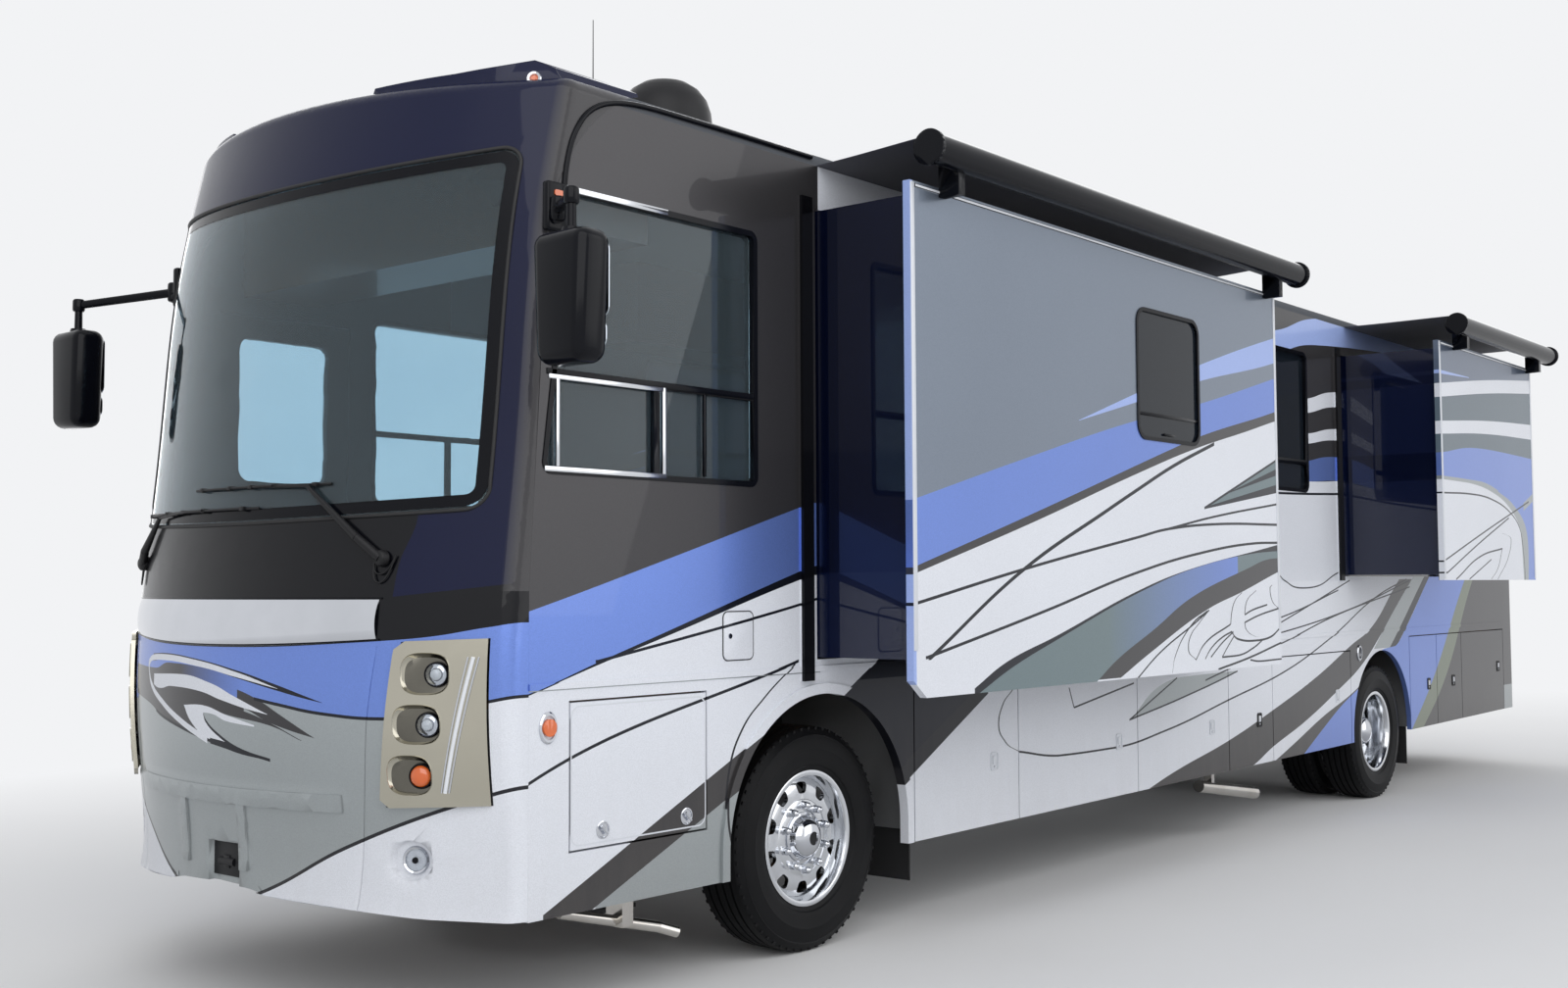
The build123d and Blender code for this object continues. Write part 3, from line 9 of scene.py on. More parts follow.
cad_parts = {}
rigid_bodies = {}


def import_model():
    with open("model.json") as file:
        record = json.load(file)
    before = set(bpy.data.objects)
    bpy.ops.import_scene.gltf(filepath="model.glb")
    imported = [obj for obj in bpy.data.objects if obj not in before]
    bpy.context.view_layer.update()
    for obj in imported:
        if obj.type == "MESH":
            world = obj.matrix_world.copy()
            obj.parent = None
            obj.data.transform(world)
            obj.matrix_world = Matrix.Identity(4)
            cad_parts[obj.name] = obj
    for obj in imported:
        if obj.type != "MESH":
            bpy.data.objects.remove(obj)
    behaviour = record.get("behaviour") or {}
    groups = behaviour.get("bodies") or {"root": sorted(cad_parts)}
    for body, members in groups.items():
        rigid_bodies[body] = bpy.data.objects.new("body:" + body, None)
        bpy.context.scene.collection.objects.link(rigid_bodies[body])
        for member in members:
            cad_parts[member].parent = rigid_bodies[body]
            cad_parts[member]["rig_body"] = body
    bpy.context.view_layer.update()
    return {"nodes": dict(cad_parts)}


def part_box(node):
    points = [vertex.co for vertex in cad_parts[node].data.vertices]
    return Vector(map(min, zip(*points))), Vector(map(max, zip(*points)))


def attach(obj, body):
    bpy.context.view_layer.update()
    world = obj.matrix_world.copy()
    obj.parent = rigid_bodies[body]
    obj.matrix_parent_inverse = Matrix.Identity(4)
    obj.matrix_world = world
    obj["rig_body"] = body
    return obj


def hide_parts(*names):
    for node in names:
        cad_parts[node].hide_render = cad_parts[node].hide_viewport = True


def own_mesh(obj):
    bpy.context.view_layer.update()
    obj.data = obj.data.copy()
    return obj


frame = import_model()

NODES = frame["nodes"]
SCENE = bpy.context.scene
SCENE.view_settings.view_transform = "Standard"

# Pieces are made in the coach's own measure: metres from the middle of the front axle, X forward,
# Y to the left of the coach's middle and Z up. ORIGIN carries them to the model's origin.
AXLE_BOX, ROOF_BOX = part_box("front_axle"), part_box("roof")
ORIGIN = Vector(((AXLE_BOX[0].x + AXLE_BOX[1].x) / 2, (ROOF_BOX[0].y + ROOF_BOX[1].y) / 2, 0))
MID = ORIGIN.y
SIDE = ROOF_BOX[1].y - MID               # half the coach's width
SLIDE_1_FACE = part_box("slide_1")[1].y - MID
SLIDE_2_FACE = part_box("slide_2")[1].y - MID
REAR_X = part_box("engine_door")[0].x - ORIGIN.x
REAR_AXLE, WHEEL_Z = -6.74, 0.495
FRONT_TYRE, OUTER_TYRE, INNER_TYRE = 1.055, 1.105, 0.775     # Y of their middles


def photo_camera(focal=1690.2054, picture_width=1600):
    """The camera of the photograph, from the lines of the coach. The focal length is in pixels."""
    yaw, pitch, roll = radians(39.7885), radians(3.14), radians(-0.2652)
    ahead = Vector((-cos(yaw) * cos(pitch), -sin(yaw) * cos(pitch), sin(pitch)))
    level = Vector((-sin(yaw), cos(yaw), 0))
    above = level.cross(ahead)
    right = level * cos(roll) + above * sin(roll)
    up = above * cos(roll) - level * sin(roll)
    data = bpy.data.cameras.new("photo_camera")
    data.sensor_width = 36
    data.lens = focal / picture_width * 36
    data.clip_end = 200
    camera = bpy.data.objects.new("photo_camera", data)
    turn = Matrix((right, up, -ahead)).transposed().to_4x4()
    camera.matrix_world = Matrix.Translation(Vector((5.7777, 5.8466, 1.6178)) + ORIGIN) @ turn
    SCENE.collection.objects.link(camera)
    SCENE.camera = camera


photo_camera()


# Shader helpers

def colour(red, green, blue):
    """A colour as a screen shows it, from 0 to 255, for a shader."""
    def linear(value):
        value = value / 255
        return value / 12.92 if value <= 0.04045 else ((value + 0.055) / 1.055) ** 2.4
    return (linear(red), linear(green), linear(blue), 1)


WHITE = colour(224, 227, 234)
BLUE = colour(112, 139, 212)
PALE_BLUE = colour(160, 180, 232)
CHARCOAL = colour(66, 65, 67)
DARK = colour(24, 27, 37)
INK = colour(26, 28, 36)
BLACK = colour(12, 13, 18)
SILVER = colour(158, 164, 166)
OLIVE = colour(120, 128, 112)
MOSS = colour(110, 126, 130)
# painted shade and reflection: deep blue drawn on the slide-out rooms' end walls, roof and floor
ROOM_SHADE_BLUE = colour(12, 20, 48)
NOSE_SHADE_BLUE = colour(9, 16, 50)
# painted shade and sky reflection: deep navy drawn on the nose's top and the windshield's posts
STONE = colour(122, 132, 146)
RAIL_GREY = colour(84, 87, 92)
# painted shade: darker copies of STONE and MOSS for the second room's face
SHADED_STONE = colour(98, 110, 130)
SHADED_MOSS = colour(94, 108, 118)
DUST = colour(150, 143, 132)
BACKDROP = colour(242, 243, 245)


def plug(tree, socket, value):
    """Feed an input with a value or with another node's output."""
    if isinstance(value, bpy.types.NodeSocket):
        tree.links.new(value, socket)
    else:
        socket.default_value = value


def put(tree, kind, inputs=None, **settings):
    """Add a node, set it, and feed its inputs."""
    made = tree.nodes.new("ShaderNode" + kind)
    for key, value in settings.items():
        setattr(made, key, value)
    for key, value in (inputs or {}).items():
        plug(tree, made.inputs[key], value)
    return made


def calc(tree, operation, *values, clamp=False):
    return put(tree, "Math", dict(enumerate(values)), operation=operation, use_clamp=clamp).outputs[0]


def mixed(tree, factor, first, second):
    """Blend two colours."""
    return put(tree, "Mix", {0: factor, 6: first, 7: second}, data_type="RGBA").outputs[2]


def noise(tree, place, scale, detail, **more):
    return put(tree, "TexNoise", {"Vector": place, "Scale": scale, "Detail": detail, **more}).outputs["Fac"]


GROUPS = {}


def group(outputs, **numbers):
    """Makes a node group from the function that fills it: a place and named numbers in, numbers out."""
    def build(fill):
        tree = bpy.data.node_groups.new(fill.__name__, "ShaderNodeTree")
        tree.interface.new_socket("Place", in_out="INPUT", socket_type="NodeSocketVector")
        for label, value in numbers.items():
            socket = tree.interface.new_socket(label, in_out="INPUT", socket_type="NodeSocketFloat")
            socket.default_value = value
        for label in outputs:
            tree.interface.new_socket(label, in_out="OUTPUT", socket_type="NodeSocketFloat")
        results = fill(tree, tree.nodes.new("NodeGroupInput").outputs)
        ends = tree.nodes.new("NodeGroupOutput").inputs
        for label, result in zip(outputs, results):
            tree.links.new(result, ends[label])
        GROUPS[fill.__name__] = tree
    return build


@group(["Roughness", "Height"], Scale=40.0, Roughness=0.4, Spread=0.1)
def worn_surface(tree, given):
    """Fine unevenness: roughness that wanders and a height for a bump."""
    fine = noise(tree, given["Place"], given["Scale"], 4.0)
    broad = noise(tree, given["Place"], 1.7, 2.0)
    both = calc(tree, "MULTIPLY_ADD", fine, 0.5, calc(tree, "MULTIPLY", broad, 0.5))
    wander = calc(tree, "MULTIPLY_ADD", both, given["Spread"], given["Roughness"])
    half = calc(tree, "MULTIPLY", given["Spread"], 0.5)
    return calc(tree, "SUBTRACT", wander, half, clamp=True), fine


@group(["Mask"], Reach=0.9, Amount=0.3)
def road_film(tree, given):
    """Dust low on the body, in faint streaks: a mask from 0 to 1."""
    height = put(tree, "SeparateXYZ", {0: given["Place"]}).outputs["Z"]
    low = calc(tree, "SUBTRACT", 1.0, calc(tree, "DIVIDE", height, given["Reach"]), clamp=True)
    streaks = put(tree, "Mapping", {"Vector": given["Place"], "Scale": (9.0, 9.0, 2.0)}).outputs[0]
    spots = noise(tree, streaks, 1.5, 5.0)
    return [calc(tree, "MULTIPLY", calc(tree, "MULTIPLY", low, spots), given["Amount"], clamp=True)]


@group(["Factor"], Amount=0.15)
def metal_flake(tree, given):
    """The sparkle of metallic paint: a factor near 1 for its colour."""
    cells = put(tree, "TexVoronoi", {"Vector": given["Place"], "Scale": 420.0}).outputs["Color"]
    value = put(tree, "SeparateColor", {0: cells}).outputs[0]
    clouds = noise(tree, given["Place"], 1.3, 3.0)
    blend = calc(tree, "ADD", calc(tree, "MULTIPLY", value, 0.6), calc(tree, "MULTIPLY", clouds, 0.4))
    swing = calc(tree, "MULTIPLY", calc(tree, "SUBTRACT", blend, 0.5), given["Amount"])
    return [calc(tree, "ADD", 1.0, swing)]


@group(["Height"], Scale=220.0)
def leather_grain(tree, given):
    """Pebbled creases for leather and moulded plastic: a height."""
    place = {"Vector": given["Place"], "Scale": given["Scale"]}
    cells = put(tree, "TexVoronoi", place, feature="DISTANCE_TO_EDGE").outputs["Distance"]
    return [calc(tree, "MULTIPLY", cells, 3.0, clamp=True)]


@group(["Height", "Shade"], Scale=160.0)
def plain_weave(tree, given):
    """Crossing threads of a woven cloth: a height and a shade."""
    place = {"Vector": given["Place"], "Scale": given["Scale"]}
    along, across = (put(tree, "TexWave", place, bands_direction=way).outputs["Fac"] for way in "XY")
    dirt = noise(tree, given["Place"], 6.0, 4.0)
    return calc(tree, "MAXIMUM", along, across), calc(tree, "MULTIPLY_ADD", dirt, 0.5, 0.7)


class Finish:
    """A material with one Principled shader and what feeds it."""

    def __init__(self, name, **sockets):
        self.material = bpy.data.materials.new(name)
        self.material.use_nodes = True
        self.tree = self.material.node_tree
        self.shader = self.tree.nodes["Principled BSDF"]
        self.place = put(self.tree, "TexCoord").outputs["Object"]
        for socket, value in sockets.items():
            self.shader.inputs[socket.replace("_", " ")].default_value = value

    def feed(self, socket, value):
        self.tree.links.new(value, self.shader.inputs[socket])

    def from_group(self, name, **inputs):
        made = self.tree.nodes.new("ShaderNodeGroup")
        made.node_tree = GROUPS[name]
        for key, value in {"Place": self.place, **inputs}.items():
            plug(self.tree, made.inputs[key], value)
        return made.outputs

    def bump(self, height, strength, distance=0.001):
        made = put(self.tree, "Bump", {"Height": height, "Strength": strength, "Distance": distance})
        self.feed("Normal", made.outputs[0])

    def worn(self, roughness, spread, scale=40.0, strength=0.0, distance=0.001):
        made = self.from_group("worn_surface", Scale=scale, Roughness=roughness, Spread=spread)
        self.feed("Roughness", made["Roughness"])
        if strength:
            self.bump(made["Height"], strength, distance)

    def tint(self, first, second, scale=3.0):
        """A base colour that wanders between two."""
        factor = noise(self.tree, self.place, scale, 4.0)
        self.feed("Base Color", mixed(self.tree, factor, colour(*first), colour(*second)))


def simple(name, first, second, roughness, spread, scale=40.0, strength=0.0, distance=0.001, patches=3.0,
           **sockets):
    """A finish that wanders a little in colour, roughness and height."""
    finish = Finish(name, **sockets)
    finish.tint(first, second, patches)
    finish.worn(roughness, spread, scale, strength, distance)
    return finish.material


# Paint: a ground colour and layers over it. A layer is a band between two lines, or a thin line, drawn
# in X and Z, or in Y and Z on the nose. Where a line turns back it is given across, as X for each Z.

def edge_line(tree, along, points):
    """The height of a drawn line at each place along it."""
    points = sorted(points)
    start, end = points[0][0], points[-1][0]
    values = [value for _, value in points]
    low, span = min(values), max(max(values) - min(values), 0.001)
    share = calc(tree, "MULTIPLY_ADD", along, 1 / (end - start), -start / (end - start), clamp=True)
    curve = put(tree, "FloatCurve", {"Value": share})
    line = curve.mapping.curves[0]
    line.points[0].location = (0, (values[0] - low) / span)
    line.points[-1].location = (1, (values[-1] - low) / span)
    for place, value in points[1:-1]:
        line.points.new((place - start) / (end - start), (value - low) / span)
    for point in line.points:
        point.handle_type = "AUTO_CLAMPED"
    curve.mapping.update()
    return calc(tree, "MULTIPLY_ADD", curve.outputs[0], span, low)


def layer_mask(tree, along, value, layer):
    """1 inside a layer and 0 outside it."""
    kind, low, high, start, end = layer
    inside = [calc(tree, "GREATER_THAN", along, min(start, end))]
    inside.append(calc(tree, "LESS_THAN", along, max(start, end)))
    if kind == "line":
        inside.append(calc(tree, "COMPARE", value, edge_line(tree, along, low), high))
    else:
        if low:
            inside.append(calc(tree, "GREATER_THAN", value, edge_line(tree, along, low)))
        if high:
            inside.append(calc(tree, "LESS_THAN", value, edge_line(tree, along, high)))
    if kind == "fade":
        inside.append(calc(tree, "MULTIPLY_ADD", along, 1 / (start - end), end / (end - start), clamp=True))
    mask = inside[0]
    for other in inside[1:]:
        mask = calc(tree, "MULTIPLY", mask, other)
    return mask


def flake_share(hue):
    """How metallic a paint colour is."""
    return 0.55 if hue in (CHARCOAL, ROOM_SHADE_BLUE, SILVER, BLUE, DARK, OLIVE, STONE, SHADED_STONE) else 0.0


def livery(name, ground, layers, sideways="X", edges=None, film=0.25, coat=0.3):
    """A painted finish with its stripes."""
    finish = Finish(name, Coat_Weight=coat, Coat_Roughness=0.02, Specular_IOR_Level=0.12)
    tree = finish.tree
    parts = put(tree, "SeparateXYZ", {0: finish.place}).outputs
    along, height = parts[sideways], parts["Z"]
    paint, flake = ground, flake_share(ground)
    for hue, kind, low, high, start, end in layers:
        across = kind.startswith("across")
        shape = (kind.split()[-1], low, high, start, end)
        mask = layer_mask(tree, height if across else along, along if across else height, shape)
        paint = mixed(tree, mask, paint, hue)
        flake = put(tree, "Mix", {0: mask, 2: flake, 3: flake_share(hue)}).outputs[0]
    if edges:
        paint = edges(tree, parts, paint)
    sparkle = finish.from_group("metal_flake", Amount=0.22)["Factor"]
    tinted = put(tree, "VectorMath", {0: paint, "Scale": sparkle}, operation="SCALE").outputs[0]
    dust = finish.from_group("road_film", Reach=1.1, Amount=film)["Mask"]
    finish.feed("Base Color", mixed(tree, dust, tinted, DUST))
    finish.feed("Metallic", flake)
    made = finish.from_group("worn_surface", Scale=55.0, Roughness=0.3 if coat else 0.7, Spread=0.1)
    finish.feed("Roughness", calc(tree, "MULTIPLY_ADD", dust, 0.3, made["Roughness"]))
    finish.bump(made["Height"], 0.05, 0.0006)
    return finish.material


def ink(half, points, start=None, end=None, kind="line"):
    """A thin dark line, by default from its first point to its last."""
    start = points[0][0] if start is None else start
    end = points[-1][0] if end is None else end
    return (INK, kind, points, half, start, end)


def ink_across(half, points, start=None, end=None):
    return ink(half, points, start, end, "across line")


BAND_TOP = [(4.05, 1.978), (4.142, 1.953), (4.975, 1.72), (5.687, 1.527), (6.2, 1.4)]
BAND_LOW = [(4.05, 1.7), (4.154, 1.672), (4.992, 1.43), (5.349, 1.328), (5.601, 1.252), (5.7, 1.225),
    (6.2, 1.08)]
SWEEP_TOP = [(-3.2, 1.64), (-3.097, 1.581), (-2.528, 1.257), (-2.209, 1.169), (-1.555, 0.968), (-0.803, 0.78),
    (-0.111, 0.628), (0.65, 0.497), (1.074, 0.405)]
SWEEP_LOW = [(-3.5, 1.65), (-3.428, 1.609), (-3.106, 1.423), (-2.815, 1.243), (-2.33, 0.99), (-1.923, 0.852),
    (-1.31, 0.666), (-0.791, 0.54), (-0.393, 0.428), (-0.088, 0.4)]
SECOND_TOP = [(-2.6, 0.95), (-2.169, 0.812), (-1.639, 0.683), (-1.144, 0.538), (-0.771, 0.432)]
SECOND_LOW = [(-2.6, 0.93), (-2.316, 0.845), (-1.986, 0.741), (-1.634, 0.599), (-1.216, 0.419)]
RISE_1 = [(1.1, -2.6), (1.243, -2.815), (1.423, -3.106), (1.609, -3.428), (1.66, -3.51)]
RISE_2 = [(1.1, -2.93), (1.27, -3.19), (1.62, -3.7), (1.66, -3.76)]
RISE_3 = [(1.1, -3.07), (1.27, -3.33), (1.62, -3.823), (1.66, -3.88)]
RISE_4 = [(0.4, -3.3), (0.83, -3.9), (1.62, -4.74), (1.66, -4.79)]
RISE_5 = [(0.4, -3.55), (0.83, -4.2), (1.62, -4.95), (1.66, -5.0)]
CORNER_LOW = [(2.6, 1.095), (2.654, 1.067), (3.343, 0.706), (3.5, 0.624)]
CORNER_BAND = [(2.8, 1.075), (3.343, 0.8), (3.5, 0.72)]
TAIL_LOW = [(-0.3, 1.066), (-0.254, 1.056), (0.511, 0.932), (1.182, 0.841)]
# colour, kind, lower line, upper line or half width, from, to
SIDE_LAYERS = [
    (CHARCOAL, "band", BAND_TOP, None, 4.0, 6.4),
    (BLACK, "band", [(4.0, 3.512), (4.154, 3.51), (5.086, 3.5), (5.3, 3.475), (5.45, 3.4)], None, 4.0, 6.4),
    (BLUE, "band", BAND_LOW, BAND_TOP, 4.0, 6.4),
    (DARK, "band", [(4.05, 1.66), (4.154, 1.636), (4.992, 1.412), (5.349, 1.318), (5.601, 1.247), (6.2, 1.075)],
        BAND_LOW, 4.0, 6.4),
    (DARK, "line", [(4.0, 1.56), (4.145, 1.531), (4.633, 1.447), (5.349, 1.332)], 0.006, 4.0, 5.36),
    (SILVER, "band", None, [(4.3, 0.884), (5.357, 0.418)], 4.25, 5.36),
    (CHARCOAL, "band", [(4.3, 0.884), (4.713, 0.702), (5.357, 0.418), (5.6, 0.31)], [(4.3, 1.032),
        (4.742, 0.831), (5.569, 0.45), (5.62, 0.427)], 4.25, 5.62),
    ink(0.0065, [(4.15, 1.289), (5.684, 0.908), (5.8, 0.82)], end=5.9),
    (SILVER, "band", [(4.0, 1.2335), (5.7, 1.2335)], [(4.0, 1.238), (5.7, 1.238)], 4.0, 5.7),
    ink_across(0.0065, [(0.506, 4.589), (0.685, 4.624), (0.878, 4.599), (1.017, 4.525), (1.142, 4.381),
        (1.274, 4.178)], end=1.276),
    (DARK, "band", CORNER_LOW, [(2.6, 1.81), (3.651, 1.231), (3.95, 1.066)], 2.65, 3.95),
    (INK, "band", CORNER_LOW, CORNER_BAND, 2.65, 3.95),
    (SILVER, "band", TAIL_LOW, [(-0.3, 1.058), (-0.037, 1.058), (0.58, 1.053), (1.182, 0.841)], -0.26, 1.182),
    ink(0.005, TAIL_LOW, -0.26),
    ink(0.005, [(0.58, 1.053), (1.182, 0.841)]),
    (CHARCOAL, "band", SWEEP_LOW, SWEEP_TOP, -3.5, 1.08),
    (BLUE, "band", None, SECOND_LOW, -2.6, -1.2),
    (CHARCOAL, "band", SECOND_LOW, SECOND_TOP, -2.6, -0.76),
    (SILVER, "across band", RISE_2, RISE_1, 1.12, 1.66),
    (DARK, "across band", RISE_3, RISE_2, 1.12, 1.66),
    (BLUE, "across band", RISE_4, [(0.4, -2.79), (1.1, -2.79), (1.13, -3.09), *RISE_3[1:]], 0.4, 1.66),
    (OLIVE, "across band", RISE_5, RISE_4, 0.4, 1.66),
    (CHARCOAL, "across band", None, RISE_5, 0.4, 1.66),
    ink(0.0055, [(-3.36, 1.64), (-2.776, 1.526), (-1.772, 1.216), (-0.952, 1.014), (-0.136, 0.884),
        (0.76, 0.748), (1.364, 0.698), (1.973, 0.704), (2.365, 0.756)]),
    ink_across(0.0055, [(0.756, 2.365), (0.82, 2.5), (0.909, 2.557), (1.0, 2.52), (1.074, 2.424)], end=1.08),
    ink(0.005, [(1.122, 1.047), (1.802, 0.948)]),
    ink_across(0.005, [(0.948, 1.802), (1.056, 1.851)], end=1.058),
    ink(0.005, [(-3.43, 1.631), (-2.17, 1.422), (-0.996, 1.288), (0.2, 1.2)]),
    ink(0.005, [(-2.183, 1.632), (-1.0, 1.363), (0.2, 1.11)]),
    ink(0.005, [(-3.426, 1.58), (-1.85, 1.373), (-1.024, 1.224), (0.2, 1.02)]),
    # wall between and behind the slide-out rooms
    (CHARCOAL, "band", [(-6.3, 2.62), (-2.05, 2.35), (-1.45, 2.32), (0.4, 2.3)], None, -6.3, 0.6),
    (CHARCOAL, "band", [(-6.3, 1.64), (-4.25, 1.64)], None, -6.3, -4.25),
    (BLUE, "band", [(-6.3, 2.4), (-2.05, 2.35), (-1.45, 2.32), (0.4, 2.28)], [(-6.3, 2.54), (-2.03, 2.52),
        (-1.4, 2.46), (0.4, 2.4)], -6.3, 0.6),
    (WHITE, "band", [(-6.3, 2.72), (-2.027, 2.642), (-1.466, 2.585), (0.4, 2.44)], [(-6.3, 2.83),
        (-2.032, 2.725), (-1.47, 2.656), (0.4, 2.52)], -6.3, 0.6),
    (WHITE, "band", [(-6.3, 3.02), (-2.041, 2.885), (-1.478, 2.801), (0.4, 2.6)], [(-6.3, 3.12),
        (-2.048, 2.994), (-1.483, 2.902), (0.4, 2.66)], -6.3, 0.6),
    (PALE_BLUE, "band", [(-6.3, 3.5), (-1.661, 3.297), (-0.992, 3.18), (0.4, 3.0)], [(-6.3, 3.6),
        (-1.914, 3.509), (-0.999, 3.33), (0.4, 3.1)], -6.3, 0.6),
    ink(0.008, [(-2.2, 2.26), (-0.964, 2.22), (0.4, 2.2)], -4.2, 0.6),
    ink(0.005, [(-1.97, 1.687), (-1.335, 1.58), (-1.042, 1.626), (-0.9, 1.7)]),
    ink(0.005, [(-1.962, 1.562), (-0.993, 1.391), (0.2, 1.26)]),
]

SLIDE_1_TOP = [(0.2, 2.86), (1.38, 2.587), (2.143, 2.435), (3.211, 2.182), (4.065, 1.97)]
SLIDE_1_LOW = [(0.2, 2.665), (0.304, 2.638), (1.368, 2.411), (1.659, 2.334), (3.079, 1.947), (4.073, 1.684)]
SLIDE_1_INK = [(0.2, 2.6), (0.307, 2.58), (0.73, 2.488), (1.389, 2.349), (2.079, 2.176), (3.079, 1.906),
    (4.073, 1.655)]
WEDGE_TOP = [(0.25, 1.853), (0.431, 1.829), (1.594, 1.676), (2.1, 1.576), (2.9, 1.372), (3.323, 1.271),
    (3.603, 1.161)]
WEDGE_FILL = [(0.25, 1.808), (0.723, 1.782), (1.415, 1.701), (1.97, 1.594), (2.9, 1.352), (3.29, 1.24),
    (3.56, 1.14)]
WEDGE_DARK = [(0.25, 1.765), (0.499, 1.752), (0.759, 1.701), (1.477, 1.542), (1.912, 1.382), (2.316, 1.238),
    (2.52, 1.14)]
WEDGE_LOW = [(0.25, 1.7), (0.316, 1.687), (0.865, 1.563), (1.252, 1.484), (1.958, 1.263), (2.28, 1.148)]
SLIDE_1_LAYERS = [
    (STONE, "band", SLIDE_1_TOP, None, 0, 4.3),
    # painted reflection: a pale strip down the face's front edge
    (PALE_BLUE, "band", None, None, 4.037, 4.3),
    (SILVER, "band", None, None, 0.25, 0.262),
    (PALE_BLUE, "band", [(0.2, 2.96), (0.32, 2.925), (1.38, 2.711), (2.06, 2.547), (2.659, 2.407)], [(0.2, 3.1),
        (0.32, 3.073), (1.38, 2.797), (2.065, 2.592), (2.659, 2.409)], 0, 2.66),
    (BLUE, "band", SLIDE_1_LOW, SLIDE_1_TOP, 0, 4.3),
    (CHARCOAL, "band", SLIDE_1_INK, SLIDE_1_LOW, 0, 4.3),
    ink(0.01, [(1.173, 2.386), (1.659, 2.241), (2.082, 2.092), (2.382, 1.983), (3.171, 1.688),
        (3.932, 1.308)], end=3.95),
    ink(0.007, [(0.317, 1.959), (1.109, 1.944), (1.707, 1.905), (2.09, 1.85), (3.128, 1.693),
        (4.064, 1.533)], 0.25, 4.1),
    ink(0.006, [(0.31, 2.084), (1.182, 1.983), (1.758, 1.9)], 0.25, 1.76),
    ink(0.007, [(0.322, 1.853), (0.68, 1.843), (1.412, 1.774), (2.096, 1.671), (3.0, 1.49),
        (3.961, 1.309)], 0.25, 3.97),
    (MOSS, "band", [(0.319, 2.165), (1.311, 2.025)], [(0.319, 2.347), (1.311, 2.025)], 0.25, 1.3),
    (DARK, "band", [(0.319, 2.255), (1.0, 2.12)], [(0.319, 2.295), (1.0, 2.123)], 0.25, 1.0),
    ink(0.007, [(0.319, 2.347), (1.311, 2.025)], 0.25, 1.31),
    (DARK, "band", [(0.319, 2.15), (1.311, 2.02)], [(0.319, 2.2), (1.311, 2.03)], 0.25, 1.31),
    (DARK, "band", WEDGE_FILL, WEDGE_TOP, 0, 3.6),
    (MOSS, "band", WEDGE_DARK, WEDGE_FILL, 0, 3.6),
    (BLUE, "fade", WEDGE_DARK, WEDGE_FILL, 0.9, 2.4),
    (CHARCOAL, "band", WEDGE_LOW, WEDGE_DARK, 0, 2.53),
    ink(0.005, [(1.275, 1.469), (1.415, 1.415), (1.855, 1.259), (2.124, 1.127)], end=2.13),
    ink(0.005, [(1.299, 1.464), (1.483, 1.397), (1.686, 1.234), (1.722, 1.147)]),
    ink_across(0.005, [(1.206, 1.446), (1.268, 1.532), (1.317, 1.519), (1.405, 1.392), (1.469, 1.275)]),
    ink(0.005, [(1.007, 1.387), (1.329, 1.292), (1.446, 1.205)]),
    ink_across(0.005, [(1.387, 1.007), (1.449, 0.992), (1.511, 0.953), (1.563, 0.853)]),
    ink(0.005, [(0.997, 1.345), (1.118, 1.317), (1.261, 1.259), (1.332, 1.206)]),
    ink(0.005, [(0.973, 1.344), (1.12, 1.286), (1.263, 1.213)]),
    ink(0.005, [(0.962, 1.323), (1.049, 1.263), (1.123, 1.208)]),
    ink(0.005, [(0.574, 1.291), (0.73, 1.242), (0.906, 1.211), (1.123, 1.208)]),
    ink(0.006, [(0.333, 1.35), (0.561, 1.291), (0.728, 1.287), (0.902, 1.3), (0.997, 1.345)], 0.28, 0.997),
    ink_across(0.005, [(1.441, 0.821), (1.51, 0.793), (1.573, 0.663)]),
    ink(0.005, [(0.512, 1.49), (0.72, 1.461), (0.821, 1.436)]),
    ink(0.005, [(0.354, 1.466), (0.619, 1.432), (0.823, 1.393)], 0.33, 0.823),
    ink_across(0.005, [(1.466, 0.354), (1.517, 0.445), (1.583, 0.468), (1.604, 0.44)]),
    ink_across(0.005, [(1.306, 0.56), (1.31, 0.676), (1.35, 0.8), (1.393, 0.823)]),
    ink(0.006, [(0.338, 1.262), (0.783, 1.191), (1.173, 1.143)], 0.28, 1.173),
    ink(0.005, [(0.342, 1.169), (0.58, 1.167), (0.758, 1.179)], 0.28, 0.758),
]
